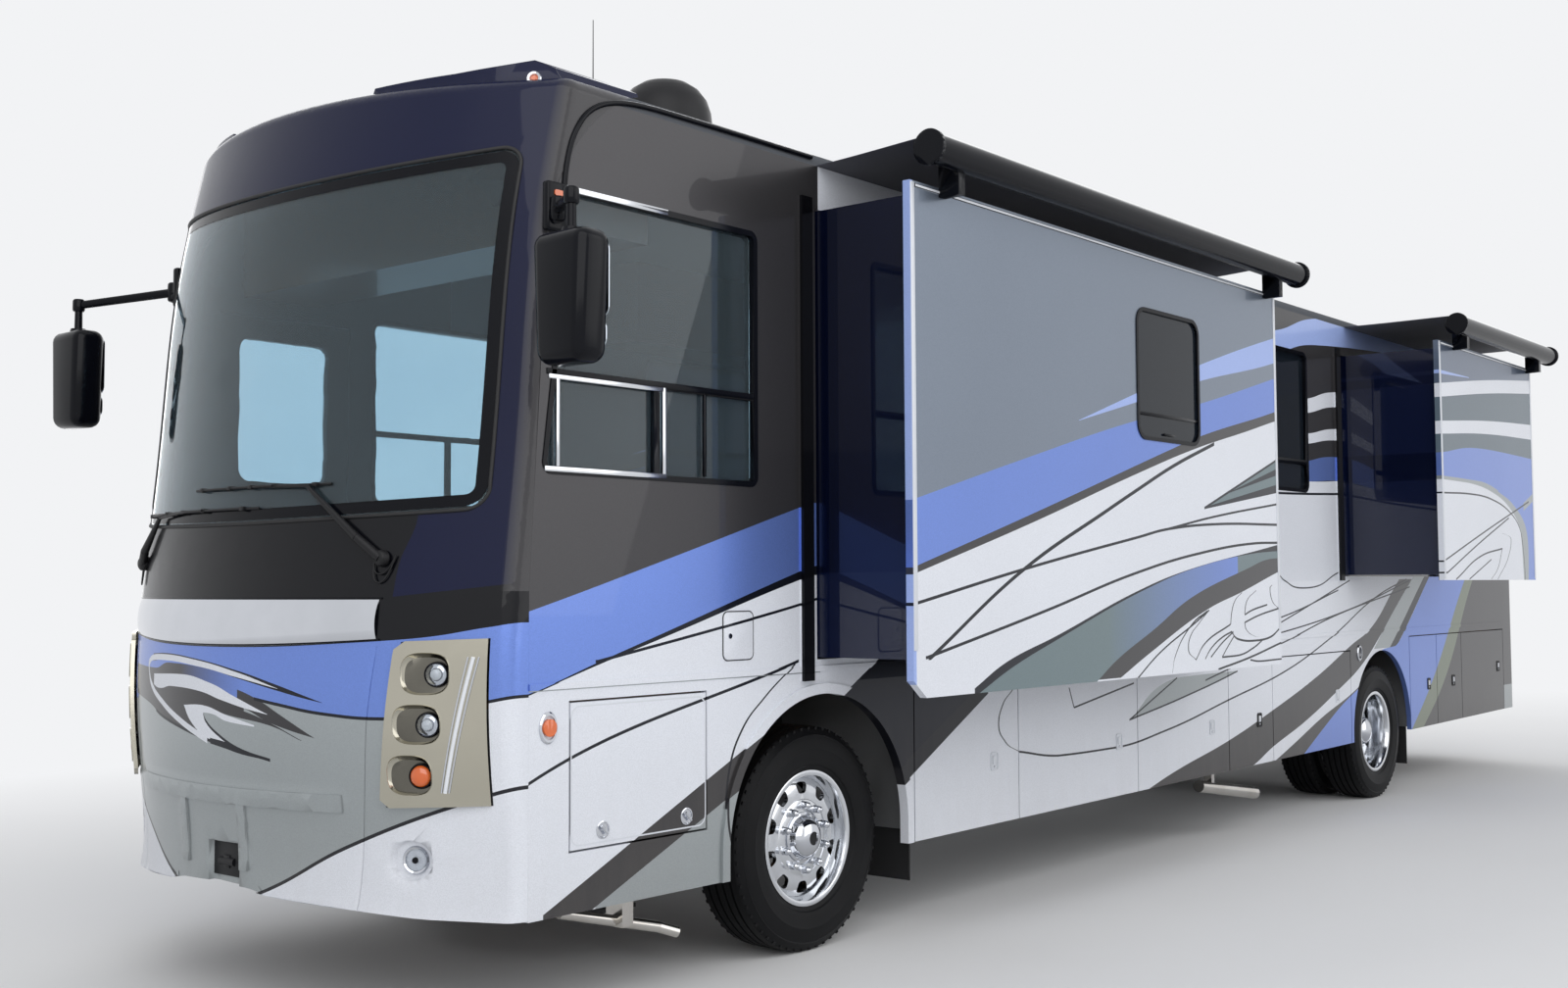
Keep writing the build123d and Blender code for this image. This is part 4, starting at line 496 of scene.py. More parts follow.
# heights of the lines between the second room's bands, at the back, the middle and the front
SLIDE_2_LINES = [[(-4.3, back), (-3.2, middle), (-2.0, front)] for back, middle, front in (
    (3.225, 3.13, 3.0), (3.121, 3.03, 2.903), (2.867, 2.82, 2.737), (2.748, 2.72, 2.647), (2.589, 2.6, 2.516),
)]
SLIDE_2_HOOK = [(1.6, -4.03), (1.824, -4.047), (2.047, -3.988), (2.208, -3.685)]
SLIDE_2_LAYERS = [
    # the second room's stone and moss are darker copies of the first room's: painted shade
    (SHADED_STONE, "band", [(-4.5, 2.5), (-2, 2.5)], None, -4.5, -1.9),
    (PALE_BLUE, "band", [(-2.7, 3.1), (-2.1, 3.075)], [(-2.7, 3.105), (-2.1, 3.1)], -2.7, -1.9),
    *[(hue, "band", low, high, -4.5, -1.9) for hue, low, high in zip(
        (WHITE, SHADED_MOSS, WHITE, SHADED_MOSS, BLUE), [*SLIDE_2_LINES[1:], None], SLIDE_2_LINES)],
    (SILVER, "across band", [*SLIDE_2_HOOK, (2.323, -3.208), (2.355, -2.9), (2.358, -2.4)], None, 1.5, 2.358),
    (BLUE, "across band", None, [*SLIDE_2_HOOK, (2.3, -3.3)], 1.5, 2.3),
    (WHITE, "band", None, [(-3.91, 1.6), (-3.893, 1.789), (-3.837, 2.026), (-3.572, 2.188), (-3.152, 2.288),
        (-2.649, 2.331), (-2.063, 2.333)], -3.91, -1.9),
    ink(0.006, [(-3.928, 1.789), (-3.867, 1.993), (-3.623, 2.139), (-3.147, 2.232), (-2.642, 2.252),
        (-2.074, 2.239)], -3.93, -1.9),
    ink_across(0.006, [(1.6, -3.95), (1.789, -3.928), (1.993, -3.867)], end=1.99),
    (SILVER, "line", [(-4.25, 2.3), (-4.089, 2.246), (-3.95, 2.2)], 0.03, -4.3, -3.95),
    ink(0.006, [(-4.089, 2.246), (-2.918, 1.973), (-2.036, 1.757)], -4.09, -1.9),
    ink(0.006, [(-3.564, 2.104), (-2.81, 1.891), (-2.121, 1.682)], end=-1.9),
    ink(0.006, [(-3.379, 1.867), (-2.904, 1.812), (-2.303, 1.636)], end=-2.3),
    ink_across(0.006, [(1.635, -3.093), (1.717, -3.258), (1.867, -3.379)]),
    ink_across(0.006, [(1.635, -3.251), (1.819, -3.537), (1.937, -3.604), (1.983, -3.39)]),
    ink(0.005, [(-3.107, 1.782), (-2.59, 1.636)]),
]

# the nose, drawn from the front in Y and Z, measured from the coach's middle
def even(*points):
    """A line that is the same on both sides of the middle."""
    return [(-y, z) for y, z in points if y] + list(points)


CORNER_LINE = even((0, 0.38), (0.293, 0.47), (0.693, 0.666), (1.13, 0.845), (1.3, 0.9))
PILLAR_LOW = [(0.875, 1.581), (1.19, 1.618), (1.3, 1.632)]
PILLAR_HIGH = [(0.875, 1.581), (0.889, 1.709), (0.932, 1.842), (0.96, 2.01), (1.3, 2.01)]
BLUE_LOW = [(-1.3, 1.225), (-1.19, 1.2), (-0.832, 1.15), (-0.6, 1.29), (-0.2, 1.27), (0.282, 1.202),
    (0.422, 1.181), (0.648, 1.15), (0.832, 1.139), (1.19, 1.2), (1.3, 1.225)]
BLADE_LOW = [(-0.9, 1.3), (-0.467, 1.293), (-0.309, 1.319), (-0.083, 1.313), (0.187, 1.275), (0.381, 1.236),
    (0.547, 1.203)]
SWOOSH_LOW = [(-0.9, 1.18), (-0.557, 1.15), (-0.388, 1.106), (-0.201, 1.07), (0.034, 1.028), (0.194, 1.004),
    (0.376, 0.972)]
SECOND_BLADE = [(-0.48, 1.269), (-0.183, 1.277), (0.015, 1.254), (0.186, 1.205), (0.371, 1.143)]
HOOK_LOW = [(-0.163, 1.158), (-0.114, 1.101), (-0.002, 1.042), (0.1, 1.022), (0.223, 1.002)]
HOOK_LINE = [(-0.012, 1.131), (0.001, 1.107), (0.101, 1.047), (0.223, 1.002), (0.376, 0.972)]
TIP_LOW = [(-0.163, 1.158), (-0.048, 1.164), (0.144, 1.133), (0.369, 1.104), (0.53, 1.05)]
NOSE_LAYERS = [
    (BLUE, "band", BLUE_LOW, None, -1.3, 1.3),
    (SILVER, "band", None, BLUE_LOW, -1.2, 1.2),
    (WHITE, "band", None, CORNER_LINE, -1.3, 1.3),
    (CHARCOAL, "band", SWOOSH_LOW, BLADE_LOW, -0.83, 0.245),
    (BLUE, "fade", SECOND_BLADE, BLADE_LOW, 0.245, -0.2),
    (CHARCOAL, "band", [(0.1, 1.19), (0.245, 1.162), (0.37, 1.116), (0.469, 1.089), (0.589, 1.062)],
        [(0.1, 1.25), (0.206, 1.231), (0.319, 1.197), (0.421, 1.149), (0.589, 1.062)], 0.206, 0.589),
    (CHARCOAL, "band", TIP_LOW, [(-0.1, 1.2), (0.245, 1.15), (0.371, 1.116), (0.53, 1.052)], -0.1, 0.53),
    (WHITE, "band", [(-0.48, 1.225), (-0.406, 1.214), (-0.276, 1.227), (-0.085, 1.221), (0.103, 1.189),
        (0.245, 1.162), (0.371, 1.142)], SECOND_BLADE, -0.48, 0.371),
    (WHITE, "band", HOOK_LOW, TIP_LOW, -0.163, 0.223),
    (SILVER, "band", HOOK_LINE, TIP_LOW, -0.012, 0.53),
    (SILVER, "band", [(0.376, 0.62), (0.53, 0.66)], [(0.376, 0.972), (0.53, 1.05)], 0.376, 0.53),
    (WHITE, "band", [(-0.13, 1.125), (0.0, 1.135), (0.144, 1.108), (0.3, 1.094)], [(-0.13, 1.157),
        (-0.048, 1.162), (0.144, 1.131), (0.3, 1.1)], -0.13, 0.3),
    ink(0.006, HOOK_LINE, -0.012, 0.376),
    ink(0.006, SWOOSH_LOW, -0.45, 0.034),
    (INK, "band", [(0.03, 1.018), (0.12, 1.005), (0.23, 0.986), (0.376, 0.971)], [(0.03, 1.04), (0.12, 1.03),
        (0.23, 1.006), (0.376, 0.973)], 0.03, 0.376),
    (WHITE, "line", [(-0.568, 1.31), (-0.518, 1.229), (-0.348, 1.149), (-0.186, 1.091), (0.01, 1.03)], 0.013,
        -0.568, 0.01),
    (INK, "band", [(-0.5, 1.32), (-0.344, 1.33), (-0.084, 1.318), (0.188, 1.276), (0.4, 1.236), (0.548, 1.206),
        (0.624, 1.192)], [(-0.5, 1.35), (-0.344, 1.356), (-0.084, 1.342), (0.188, 1.305), (0.4, 1.258),
        (0.548, 1.216), (0.624, 1.193)], -0.5, 0.624),
    (WHITE, "band", [(-0.56, 1.295), (-0.5, 1.322), (-0.344, 1.327), (-0.084, 1.314), (0.188, 1.279),
        (0.42, 1.24)], [(-0.56, 1.325), (-0.5, 1.345), (-0.344, 1.351), (-0.084, 1.337), (0.188, 1.298),
        (0.42, 1.241)], -0.56, 0.42),
    ink(0.006, BLUE_LOW[5:], 0.3, 1.3),
    ink(0.007, CORNER_LINE, -1.3, 1.3),
    (BLACK, "band", even((0, 1.39), (0.79, 1.417), (1.2, 1.47), (1.3, 1.49)), None, -1.3, 1.3),
    # painted shade and sky reflection: deep navy over the nose's top and down the windshield's posts
    (NOSE_SHADE_BLUE, "band", [(-1.3, 2.0), (1.3, 2.0)], None, -1.3, 1.3),
    (NOSE_SHADE_BLUE, "band", PILLAR_LOW, PILLAR_HIGH, 0.875, 1.3),
    (NOSE_SHADE_BLUE, "band", [(-y, z) for y, z in PILLAR_LOW], [(-y, z) for y, z in PILLAR_HIGH], -1.3, -0.875),
]


def on_nose(layer):
    """A nose layer, drawn from the coach's middle, moved to the model's Y."""
    hue, kind, low, high, start, end = layer
    low, high = ([(y + MID, z) for y, z in edge] if isinstance(edge, list) else edge for edge in (low, high))
    return hue, kind, low, high, start + MID, end + MID


NOSE_LAYERS = [on_nose(layer) for layer in NOSE_LAYERS]

# without a room in it the right wall carries the first room's drawing itself, as far as the room is wide
ROOM_BACK, ROOM_FRONT = 0.25, 4.04


def on_wall(layer):
    hue, kind, low, high, start, end = layer
    if "across" in kind or start >= end:
        return layer
    return hue, kind, low, high, max(start, ROOM_BACK), min(end, ROOM_FRONT)


RIGHT_LAYERS = SIDE_LAYERS + [(WHITE, "band", [(0, 1.14), (4.3, 1.14)], None, ROOM_BACK, ROOM_FRONT)]
RIGHT_LAYERS += [on_wall(layer) for layer in SLIDE_1_LAYERS if layer[2] or layer[3]]
REAR_LAYERS = [
    (BLUE, "band", [(-1.6, 1.75), (1.3, 1.75)], [(-1.6, 1.95), (-0.17, 2.1), (1.3, 1.95)], -1.6, 1.3),
    (WHITE, "band", [(-1.6, 2.02), (-0.17, 2.16), (1.3, 2.02)], [(-1.6, 2.08), (-0.17, 2.22), (1.3, 2.08)],
        -1.6, 1.3),
    (SILVER, "band", None, [(-1.6, 0.7), (1.3, 0.7)], -1.6, 1.3),
]
RAIL_WIDE = 0.085
ROOF_LAYERS = [
    (RAIL_GREY, "band", None, None, MID + SIDE - RAIL_WIDE, 2),
    (RAIL_GREY, "band", None, None, -2, MID - SIDE + RAIL_WIDE),
]


def trims_black(tree, parts, paint):
    """The strips that stand ahead of the slide-out rooms' openings are black."""
    return mixed(tree, calc(tree, "GREATER_THAN", parts["Y"], MID + SIDE + 0.0075), paint, BLACK)


def end_walls_navy(face):
    """The slide-out rooms' end walls, roof and floor behind the face are glossy, and deep blue as painted shade
    and reflection.
    """
    def rule(tree, parts, paint):
        behind = calc(tree, "LESS_THAN", parts["Y"], MID + face - 0.036)
        shine = calc(tree, "MULTIPLY_ADD", behind, 0.55, 0.45)
        tree.links.new(shine, tree.nodes["Principled BSDF"].inputs["Coat Weight"])
        return mixed(tree, behind, paint, ROOM_SHADE_BLUE)
    return rule


def cheeks_charcoal(tree, parts, paint):
    """The sides of the nose beside the windshield take the walls' charcoal."""
    aside = calc(tree, "ABSOLUTE", calc(tree, "SUBTRACT", parts["Y"], MID))
    turned_away = calc(tree, "MULTIPLY_ADD", aside, 1 / 0.04, -1.232 / 0.04, clamp=True)
    above_band = calc(tree, "GREATER_THAN", parts["Z"], 1.6)
    return mixed(tree, calc(tree, "MULTIPLY", turned_away, above_band), paint, CHARCOAL)


BODY_SIDE = livery("side_paint", WHITE, SIDE_LAYERS)
WALL_LEFT = livery("left_wall_paint", WHITE, SIDE_LAYERS, edges=trims_black)
WALL_RIGHT = livery("right_wall_paint", WHITE, RIGHT_LAYERS)
SLIDE_1_PAINT = livery("slide_1_paint", WHITE, SLIDE_1_LAYERS, edges=end_walls_navy(SLIDE_1_FACE))
SLIDE_2_PAINT = livery("slide_2_paint", WHITE, SLIDE_2_LAYERS, edges=end_walls_navy(SLIDE_2_FACE))
NOSE_PAINT = livery("nose_paint", WHITE, NOSE_LAYERS, "Y", cheeks_charcoal)
ROOF_PAINT = livery("roof_paint", colour(206, 207, 209), ROOF_LAYERS, "Y", film=0.1, coat=0.0)
REAR_PAINT = livery("rear_paint", CHARCOAL, REAR_LAYERS, "Y")


def grained(name, first, second, patches, roughness, spread, scale, grain, strength, depth, **sockets):
    """Leather or moulded plastic."""
    finish = Finish(name, **sockets)
    finish.tint(first, second, patches)
    finish.worn(roughness, spread, scale)
    finish.bump(finish.from_group("leather_grain", Scale=grain)["Height"], strength, depth)
    return finish.material


def glazing(name, first, second, depth):
    """Tinted glass: a plain transmission with a little film on its surface."""
    return simple(name, first, second, 0.0, 0.012, 3.0, 0.01, patches=1.2, Transmission_Weight=depth, IOR=1.33)


def cabin_wood():
    finish = Finish("cabinet_wood", Coat_Weight=0.4)
    stretched = put(finish.tree, "Mapping", {"Vector": finish.place, "Scale": (2.0, 14.0, 14.0)}).outputs[0]
    grain = noise(finish.tree, stretched, 3.0, 6.0, Distortion=1.2)
    finish.feed("Base Color", mixed(finish.tree, grain, colour(70, 42, 26), colour(128, 84, 52)))
    finish.worn(0.35, 0.15, 60.0, 0.06)
    return finish.material


def topper_cloth():
    finish = Finish("topper_cloth", Sheen_Weight=0.2)
    weave = finish.from_group("plain_weave", Scale=120.0)
    finish.feed("Base Color", mixed(finish.tree, weave["Shade"], colour(12, 14, 26), colour(30, 34, 58)))
    finish.worn(0.6, 0.12, 60.0)
    finish.bump(weave["Height"], 0.25, 0.0006)
    return finish.material


# name, two colours, roughness and its spread, scale, bump strength and depth, size of the colour patches
BLACK_GLOSS = simple("black_gloss_trim", (7, 8, 13), (13, 15, 22), 0.16, 0.1, 60.0, 0.03,
                     Specular_IOR_Level=0.15)
BLACK_SATIN = simple("black_satin_plastic", (13, 13, 16), (22, 22, 25), 0.48, 0.15, 260.0, 0.12,
                     Specular_IOR_Level=0.3)
RUBBER = simple("seal_rubber", (17, 17, 19), (27, 27, 29), 0.62, 0.2, 160.0, 0.15)
TYRE = simple("tyre_rubber", (9, 10, 12), (20, 20, 22), 0.5, 0.2, 150.0, 0.2, patches=7.0,
              Specular_IOR_Level=0.15)
CHROME = simple("chrome", (190, 193, 198), (218, 220, 226), 0.06, 0.06, 30.0, 0.02, Metallic=1.0)
ALLOY = simple("polished_alloy", (205, 208, 212), (226, 228, 232), 0.14, 0.12, 90.0, 0.04, Metallic=1.0)
NICKEL = simple("brushed_nickel", (168, 164, 150), (196, 192, 178), 0.17, 0.1, 25.0, 0.08, 0.002, 1.6,
                Metallic=1.0)
# painted shade: a darker copy of the nickel for the lamp pockets' floors
SHADED_NICKEL = simple("scoop_nickel", (88, 86, 80), (124, 121, 112), 0.2, 0.12, 25.0, 0.08, 0.002, Metallic=1.0)
ROOF_SKIN = simple("roof_gelcoat", (206, 207, 208), (220, 221, 222), 0.55, 0.15, 70.0, 0.05, patches=1.5)
FRAME_PAINT = simple("chassis_paint", (30, 31, 33), (46, 45, 44), 0.5, 0.25, 45.0, 0.2, patches=5.0)
CAST_IRON = simple("cast_iron", (38, 38, 40), (58, 55, 52), 0.62, 0.2, 120.0, 0.5, 0.002, 6.0, Metallic=0.4)
TRAY_METAL = simple("bay_liner", (120, 122, 124), (142, 143, 144), 0.45, 0.2, 35.0, 0.1, Metallic=0.7)
FLOORING = simple("floor_boards", (112, 84, 60), (140, 108, 78), 0.4, 0.2, 20.0, 0.1)
EXHAUST = simple("exhaust_chrome", (176, 170, 162), (214, 212, 208), 0.15, 0.2, 18.0, 0.05, patches=7.0,
                 Metallic=1.0)
AMBER = simple("amber_lens", (206, 84, 16), (228, 108, 28), 0.12, 0.06, 200.0, 0.25, Coat_Weight=1.0)
RED_LENS = simple("red_lens", (140, 18, 20), (170, 28, 28), 0.12, 0.06, 200.0, 0.25, Coat_Weight=1.0)
CLEAR_LENS = simple("clear_lens", (206, 212, 218), (228, 232, 236), 0.06, 0.05, 160.0, 0.12, Coat_Weight=1.0)
TRIM_PAINT = simple("trim_paint", (205, 209, 216), (220, 223, 229), 0.3, 0.12, 60.0, 0.04, Coat_Weight=0.4)
LIGHT_BAR = simple("light_bar", (222, 226, 232), (240, 242, 246), 0.15, 0.1, 300.0, 0.3, Coat_Weight=0.6)
MIRROR_GLASS = simple("mirror_glass", (190, 196, 204), (206, 212, 220), 0.03, 0.02, 10.0, Metallic=1.0)
LEATHER = grained("seat_leather", (196, 186, 170), (218, 209, 194), 5.0, 0.5, 0.15, 50.0, 260.0, 0.3, 0.0008,
                  Specular_IOR_Level=0.4)
DASH = grained("dash_plastic", (64, 60, 58), (80, 76, 72), 4.0, 0.6, 0.12, 80.0, 420.0, 0.2, 0.0005)
WOOD = cabin_wood()
CLOTH = topper_cloth()
SHIELD_GLASS = glazing("windshield_glass", (196, 218, 228), (180, 206, 220), 0.96)
SIDE_GLASS = glazing("tinted_glass", (40, 48, 58), (30, 38, 48), 0.55)
LENS_GLASS = glazing("lamp_lens", (236, 240, 244), (222, 228, 234), 0.95)
CAB_GLASS = glazing("cab_side_glass", (168, 186, 194), (150, 170, 182), 0.93)

RIGHT_BAY_DOORS = ["bay_door_right_%d" % number for number in range(1, 5)]
BAY_DOORS = ["bay_door_%d" % number for number in range(1, 9)] + RIGHT_BAY_DOORS
# every node that keeps its CAD shape, by its finish
KEPT = {
    WALL_RIGHT: "wall_right entry_door",
    BODY_SIDE: " ".join(["skirts", "locker_door"] + BAY_DOORS),
    WALL_LEFT: "wall_left",
    SLIDE_1_PAINT: "slide_1",
    SLIDE_2_PAINT: "slide_2",
    REAR_PAINT: "engine_door",
    FRAME_PAINT: "chassis_rails levelling_jacks",
    CAST_IRON: "front_axle rear_axle engine_block knuckle_left knuckle_right",
    FLOORING: "house_floor",
    TRAY_METAL: "bay_trays",
    ROOF_PAINT: "roof",
    WOOD: "cabinets",
    DASH: "dash entry_steps steering_wheel",
    RUBBER: "mud_flaps",
    EXHAUST: "exhaust",
    SIDE_GLASS: "slide_1_glass",
    CAB_GLASS: "entry_door_glass",
}
for material, nodes in KEPT.items():
    for node in nodes.split():
        slots = NODES[node].data.materials
        slots.clear()
        slots.append(material)


# Mesh helpers

def linked(name, bm, materials, body, stands_for, slot, crease):
    """Turn a bmesh in the model's measure into a piece that rides on a body."""
    mesh = bpy.data.meshes.new(name)
    bm.to_mesh(mesh)
    bm.free()
    mesh.shade_smooth()
    mesh.set_sharp_from_angle(angle=radians(crease))
    for material in materials if isinstance(materials, (list, tuple)) else [materials]:
        mesh.materials.append(material)
    made = bpy.data.objects.new(name, mesh)
    SCENE.collection.objects.link(made)
    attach(made, body)
    if stands_for:
        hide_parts(*stands_for)
    return made


def piece(name, materials, slot, stands_for=(), body="coach", crease=35):
    """Makes a finished piece from the function that shapes its mesh in the coach's measure."""
    def finish(shape):
        bm = bmesh.new()
        shape(bm)
        bmesh.ops.remove_doubles(bm, verts=bm.verts, dist=1e-5)
        bmesh.ops.recalc_face_normals(bm, faces=bm.faces)
        bmesh.ops.translate(bm, verts=bm.verts, vec=ORIGIN)
        return linked(name, bm, materials, body, stands_for, slot, crease)
    return finish


def middle_of(face):
    return face.calc_center_median() - ORIGIN


def smooth_copy(node, materials, slot, crease=30, pick=None, leave=None, reshape=None):
    """The CAD node's own shape, smooth. Faces that other pieces stand for are left out."""
    bm = bmesh.new()
    bm.from_mesh(NODES[node].data)
    bmesh.ops.remove_doubles(bm, verts=bm.verts, dist=1e-5)
    if leave:
        bmesh.ops.delete(bm, geom=[face for face in bm.faces if leave(middle_of(face))], context="FACES")
    if reshape:
        for vert in bm.verts:
            vert.co = reshape(vert.co - ORIGIN) + ORIGIN
        bmesh.ops.remove_doubles(bm, verts=bm.verts, dist=1e-4)
        bmesh.ops.dissolve_degenerate(bm, edges=bm.edges, dist=1e-4)
    for face in bm.faces:
        face.material_index = pick(middle_of(face)) if pick else 0
    made = linked(node + "_smooth", bm, materials, NODES[node]["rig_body"], [node], slot, crease)
    made.modifiers.new("weighted", "WEIGHTED_NORMAL").keep_sharp = True


def unique(items):
    """Each item once, always in the same order."""
    return list(dict.fromkeys(items))


def edges_of(verts):
    return unique(edge for vert in verts for edge in vert.link_edges)


def faces_of(verts):
    return unique(face for vert in verts for face in vert.link_faces)


def new_verts(made):
    """The vertices in what an operator returns."""
    return [item for item in made["geom"] if isinstance(item, bmesh.types.BMVert)]


def bevelled(bm, edges, offset, segments):
    return bmesh.ops.bevel(
        bm, geom=edges, offset=offset, segments=segments, profile=0.5, affect="EDGES", material=-1,
    )


def rounded(bm, edges, faces, bevel, segments):
    """Round edges off and give the faces that are there afterwards."""
    made = bevelled(bm, edges, bevel, segments)
    return unique([*made["faces"], *[face for face in faces if face.is_valid]])


def cuboid(bm, low, high, bevel=0.0, segments=2, mat=0):
    """A block between two corners, its edges rounded."""
    low, high = Vector(low), Vector(high)
    place = Matrix.Translation((low + high) / 2) @ Matrix.Diagonal((*(high - low), 1))
    verts = bmesh.ops.create_cube(bm, size=1, matrix=place)["verts"]
    faces = faces_of(verts)
    if bevel:
        faces = rounded(bm, edges_of(verts), faces, bevel, segments)
    for face in faces:
        face.material_index = mat
    return faces


def bar(bm, start, end, radius, radius_end=None, segments=16, mat=0):
    """A round bar or cone between two points."""
    start, end = Vector(start), Vector(end)
    run = end - start
    turn = run.to_track_quat("Z", "Y").to_matrix().to_4x4()
    made = bmesh.ops.create_cone(
        bm, cap_ends=True, cap_tris=False, segments=segments, radius1=radius,
        radius2=radius if radius_end is None else radius_end, depth=run.length,
        matrix=Matrix.Translation((start + end) / 2) @ turn,
    )
    for face in faces_of(made["verts"]):
        face.material_index = mat


def turned(bm, profile, centre, axis, steps=48, mat=0):
    """Spin a profile of radius and distance along an axis about a centre."""
    axis, centre = Vector(axis), Vector(centre)
    side = axis.orthogonal().normalized() if abs(axis.z) > 0.9 else Vector((0, 0, 1))
    verts = [bm.verts.new(centre + side * radius + axis * out) for radius, out in profile]
    edges = [bm.edges.new(pair) for pair in zip(verts, verts[1:])]
    before = set(bm.faces)
    bmesh.ops.spin(bm, geom=verts + edges, cent=centre, axis=axis, angle=2 * pi, steps=steps, use_merge=True)
    for face in set(bm.faces) - before:
        face.material_index = mat


def rings(bm, centre, axis, **profiles):
    """Profiles spun about one centre: each has its steps, its material and its points."""
    for steps, mat, profile in profiles.values():
        turned(bm, profile, centre, axis, steps, mat)


def rounded_plate(bm, centre, wide, high, corner, thick, axis="Y", mat=0, bevel=0.0):
    """A plate with round corners, facing along Y or X."""
    index = 1 if axis == "Y" else 0
    size = (wide, thick, high) if index else (thick, wide, high)
    place = Matrix.Translation(Vector(centre)) @ Matrix.Diagonal((*size, 1))
    verts = bmesh.ops.create_cube(bm, size=1, matrix=place)["verts"]

    def depth(edge):
        return abs((edge.verts[0].co - edge.verts[1].co)[index])

    corners = [edge for edge in edges_of(verts) if depth(edge) > thick * 0.9]
    made = bevelled(bm, corners, corner, 6)
    faces = unique([*made["faces"], *faces_of(made["verts"])])
    if bevel:
        rims = unique(edge for face in faces for edge in face.edges if depth(edge) < 1e-6)
        faces = rounded(bm, rims, faces, bevel, 2)
    for face in faces:
        face.material_index = mat


def along_path(bm, points, radius, sides=6, mat=0, cyclic=False):
    """A round bead or hose along points."""
    data = bpy.data.curves.new("path", "CURVE")
    data.dimensions = "3D"
    data.bevel_depth = radius
    data.bevel_resolution = max(sides // 4, 1)
    data.resolution_u = 6
    data.use_fill_caps = not cyclic
    spline = data.splines.new("NURBS")
    spline.points.add(len(points) - 1)
    for point, place in zip(spline.points, points):
        point.co = (*place, 1)
    spline.use_cyclic_u = cyclic
    spline.order_u = 3
    spline.use_endpoint_u = not cyclic
    holder = bpy.data.objects.new("path", data)
    mesh = bpy.data.meshes.new_from_object(holder)
    before = set(bm.faces)
    bm.from_mesh(mesh)
    for face in set(bm.faces) - before:
        face.material_index = mat
    bpy.data.objects.remove(holder)
    bpy.data.meshes.remove(mesh)


# X where rays toward the nose start, and behind which nothing belongs to it
RAY_START, NOSE_BACK = 9, 1.5


def skin_finder(*nodes):
    """Finds the outermost place of CAD nodes seen from the front."""
    bm = bmesh.new()
    for node in nodes:
        bm.from_mesh(NODES[node].data)
    tree = BVHTree.FromBMesh(bm)
    bm.free()
    # a ray that falls in a seam is moved to the skin beside it
    tries = ((0, 0), (0, 0.014), (0, -0.014), (0.014, 0), (-0.014, 0), (0.012, 0.012), (-0.012, -0.012))

    def at(y, z, out=0.0):
        for aside, above in tries:
            hit = tree.ray_cast(Vector((RAY_START, y + aside + ORIGIN.y, z + above)), Vector((-1, 0, 0)))[0]
            if hit and hit.x - ORIGIN.x > NOSE_BACK:
                return Vector((hit.x - ORIGIN.x + out, y, z))
    return at


NOSE_SKIN = skin_finder("front_cap", "glass", "headlamp_panels")
SHIELD_SKIN = skin_finder("glass")


# Smooth copies of the curved CAD shapes

# half the nose's width against the height of its lower edge, and the opening there that is closed
VALANCE = ((0.0, 0.489), (0.226, 0.48), (0.32, 0.464), (0.73, 0.441), (0.97, 0.421), (1.14, 0.415),
           (1.3, 0.415))
NOTCH_HALF, NOTCH_TOP = 0.28, 0.515


def valance_edge(place):
    """The nose's lower edge rises to the middle, and closes the opening there."""
    across = abs(place.y)
    for (start, low), (end, high) in zip(VALANCE, VALANCE[1:]):
        if start <= across <= end:
            edge = low + (high - low) * (across - start) / (end - start)
            in_notch = across < NOTCH_HALF + 0.001 and abs(place.z - NOTCH_TOP) < 0.001
            if place.x > NOSE_BACK and (place.z < edge or in_notch):
                place.z = edge
    return place


def lens_kind(place):
    """Amber at the sides and over the windshield, red at the back, clear elsewhere."""
    if place.x < -9.0:
        return 2
    return 1 if abs(place.y) > SIDE - 0.02 or place.z > 3 else 0


def in_panels(place):
    """The lamps in the headlamp panels, which lamp_details makes."""
    return place.x > 1.6 and 0.8 < abs(place.y) < SIDE - 0.03 and place.z < 1.5


smooth_copy("front_cap", NOSE_PAINT, "body_paint", 25, reshape=valance_edge)
smooth_copy("rear_cap", REAR_PAINT, "body_paint", 25)
smooth_copy("glass", [SIDE_GLASS, SHIELD_GLASS, CAB_GLASS], "glass", 25,
            lambda place: 1 if place.x > 1.75 else 2 if place.x > -0.7 else 0)
smooth_copy("window_frames", BLACK_GLOSS, "window_alloy")
smooth_copy("lamps", [CLEAR_LENS, AMBER, RED_LENS], "lens", 30, lens_kind, in_panels)
smooth_copy("slide_1_roller", BLACK_GLOSS, "black_trim")
smooth_copy("slide_2_roller", BLACK_GLOSS, "black_trim")


# Wheels

TREAD_HALF, GROOVE_HALF, GROOVE_DEEP = 0.104, 0.006, 0.012
GROOVES = (-0.066, -0.022, 0.022, 0.066)
DISC_INNER, DISC_OUTER, WHEEL_NUTS = 0.168, 0.262, 10


def tyre_profile():
    """From the inboard bead over the tread to the outboard bead: radius and offset."""
    wall = [(0.288, 0.104), (0.3, 0.11), (0.312, 0.119), (0.318, 0.12), (0.324, 0.127), (0.352, 0.134),
            (0.385, 0.1365), (0.392, 0.1385), (0.399, 0.137), (0.43, 0.134), (0.452, 0.128), (0.456, 0.13),
            (0.461, 0.126), (0.476, 0.118), (0.486, 0.112), (0.492, TREAD_HALF)]
    tread = []
    for groove in reversed(GROOVES):
        tread += [(WHEEL_Z, groove + GROOVE_HALF), (WHEEL_Z - GROOVE_DEEP, groove + GROOVE_HALF * 0.6),
                  (WHEEL_Z - GROOVE_DEEP, groove - GROOVE_HALF * 0.6), (WHEEL_Z, groove - GROOVE_HALF)]
    return wall + tread + [(radius, -out) for radius, out in reversed(wall)]


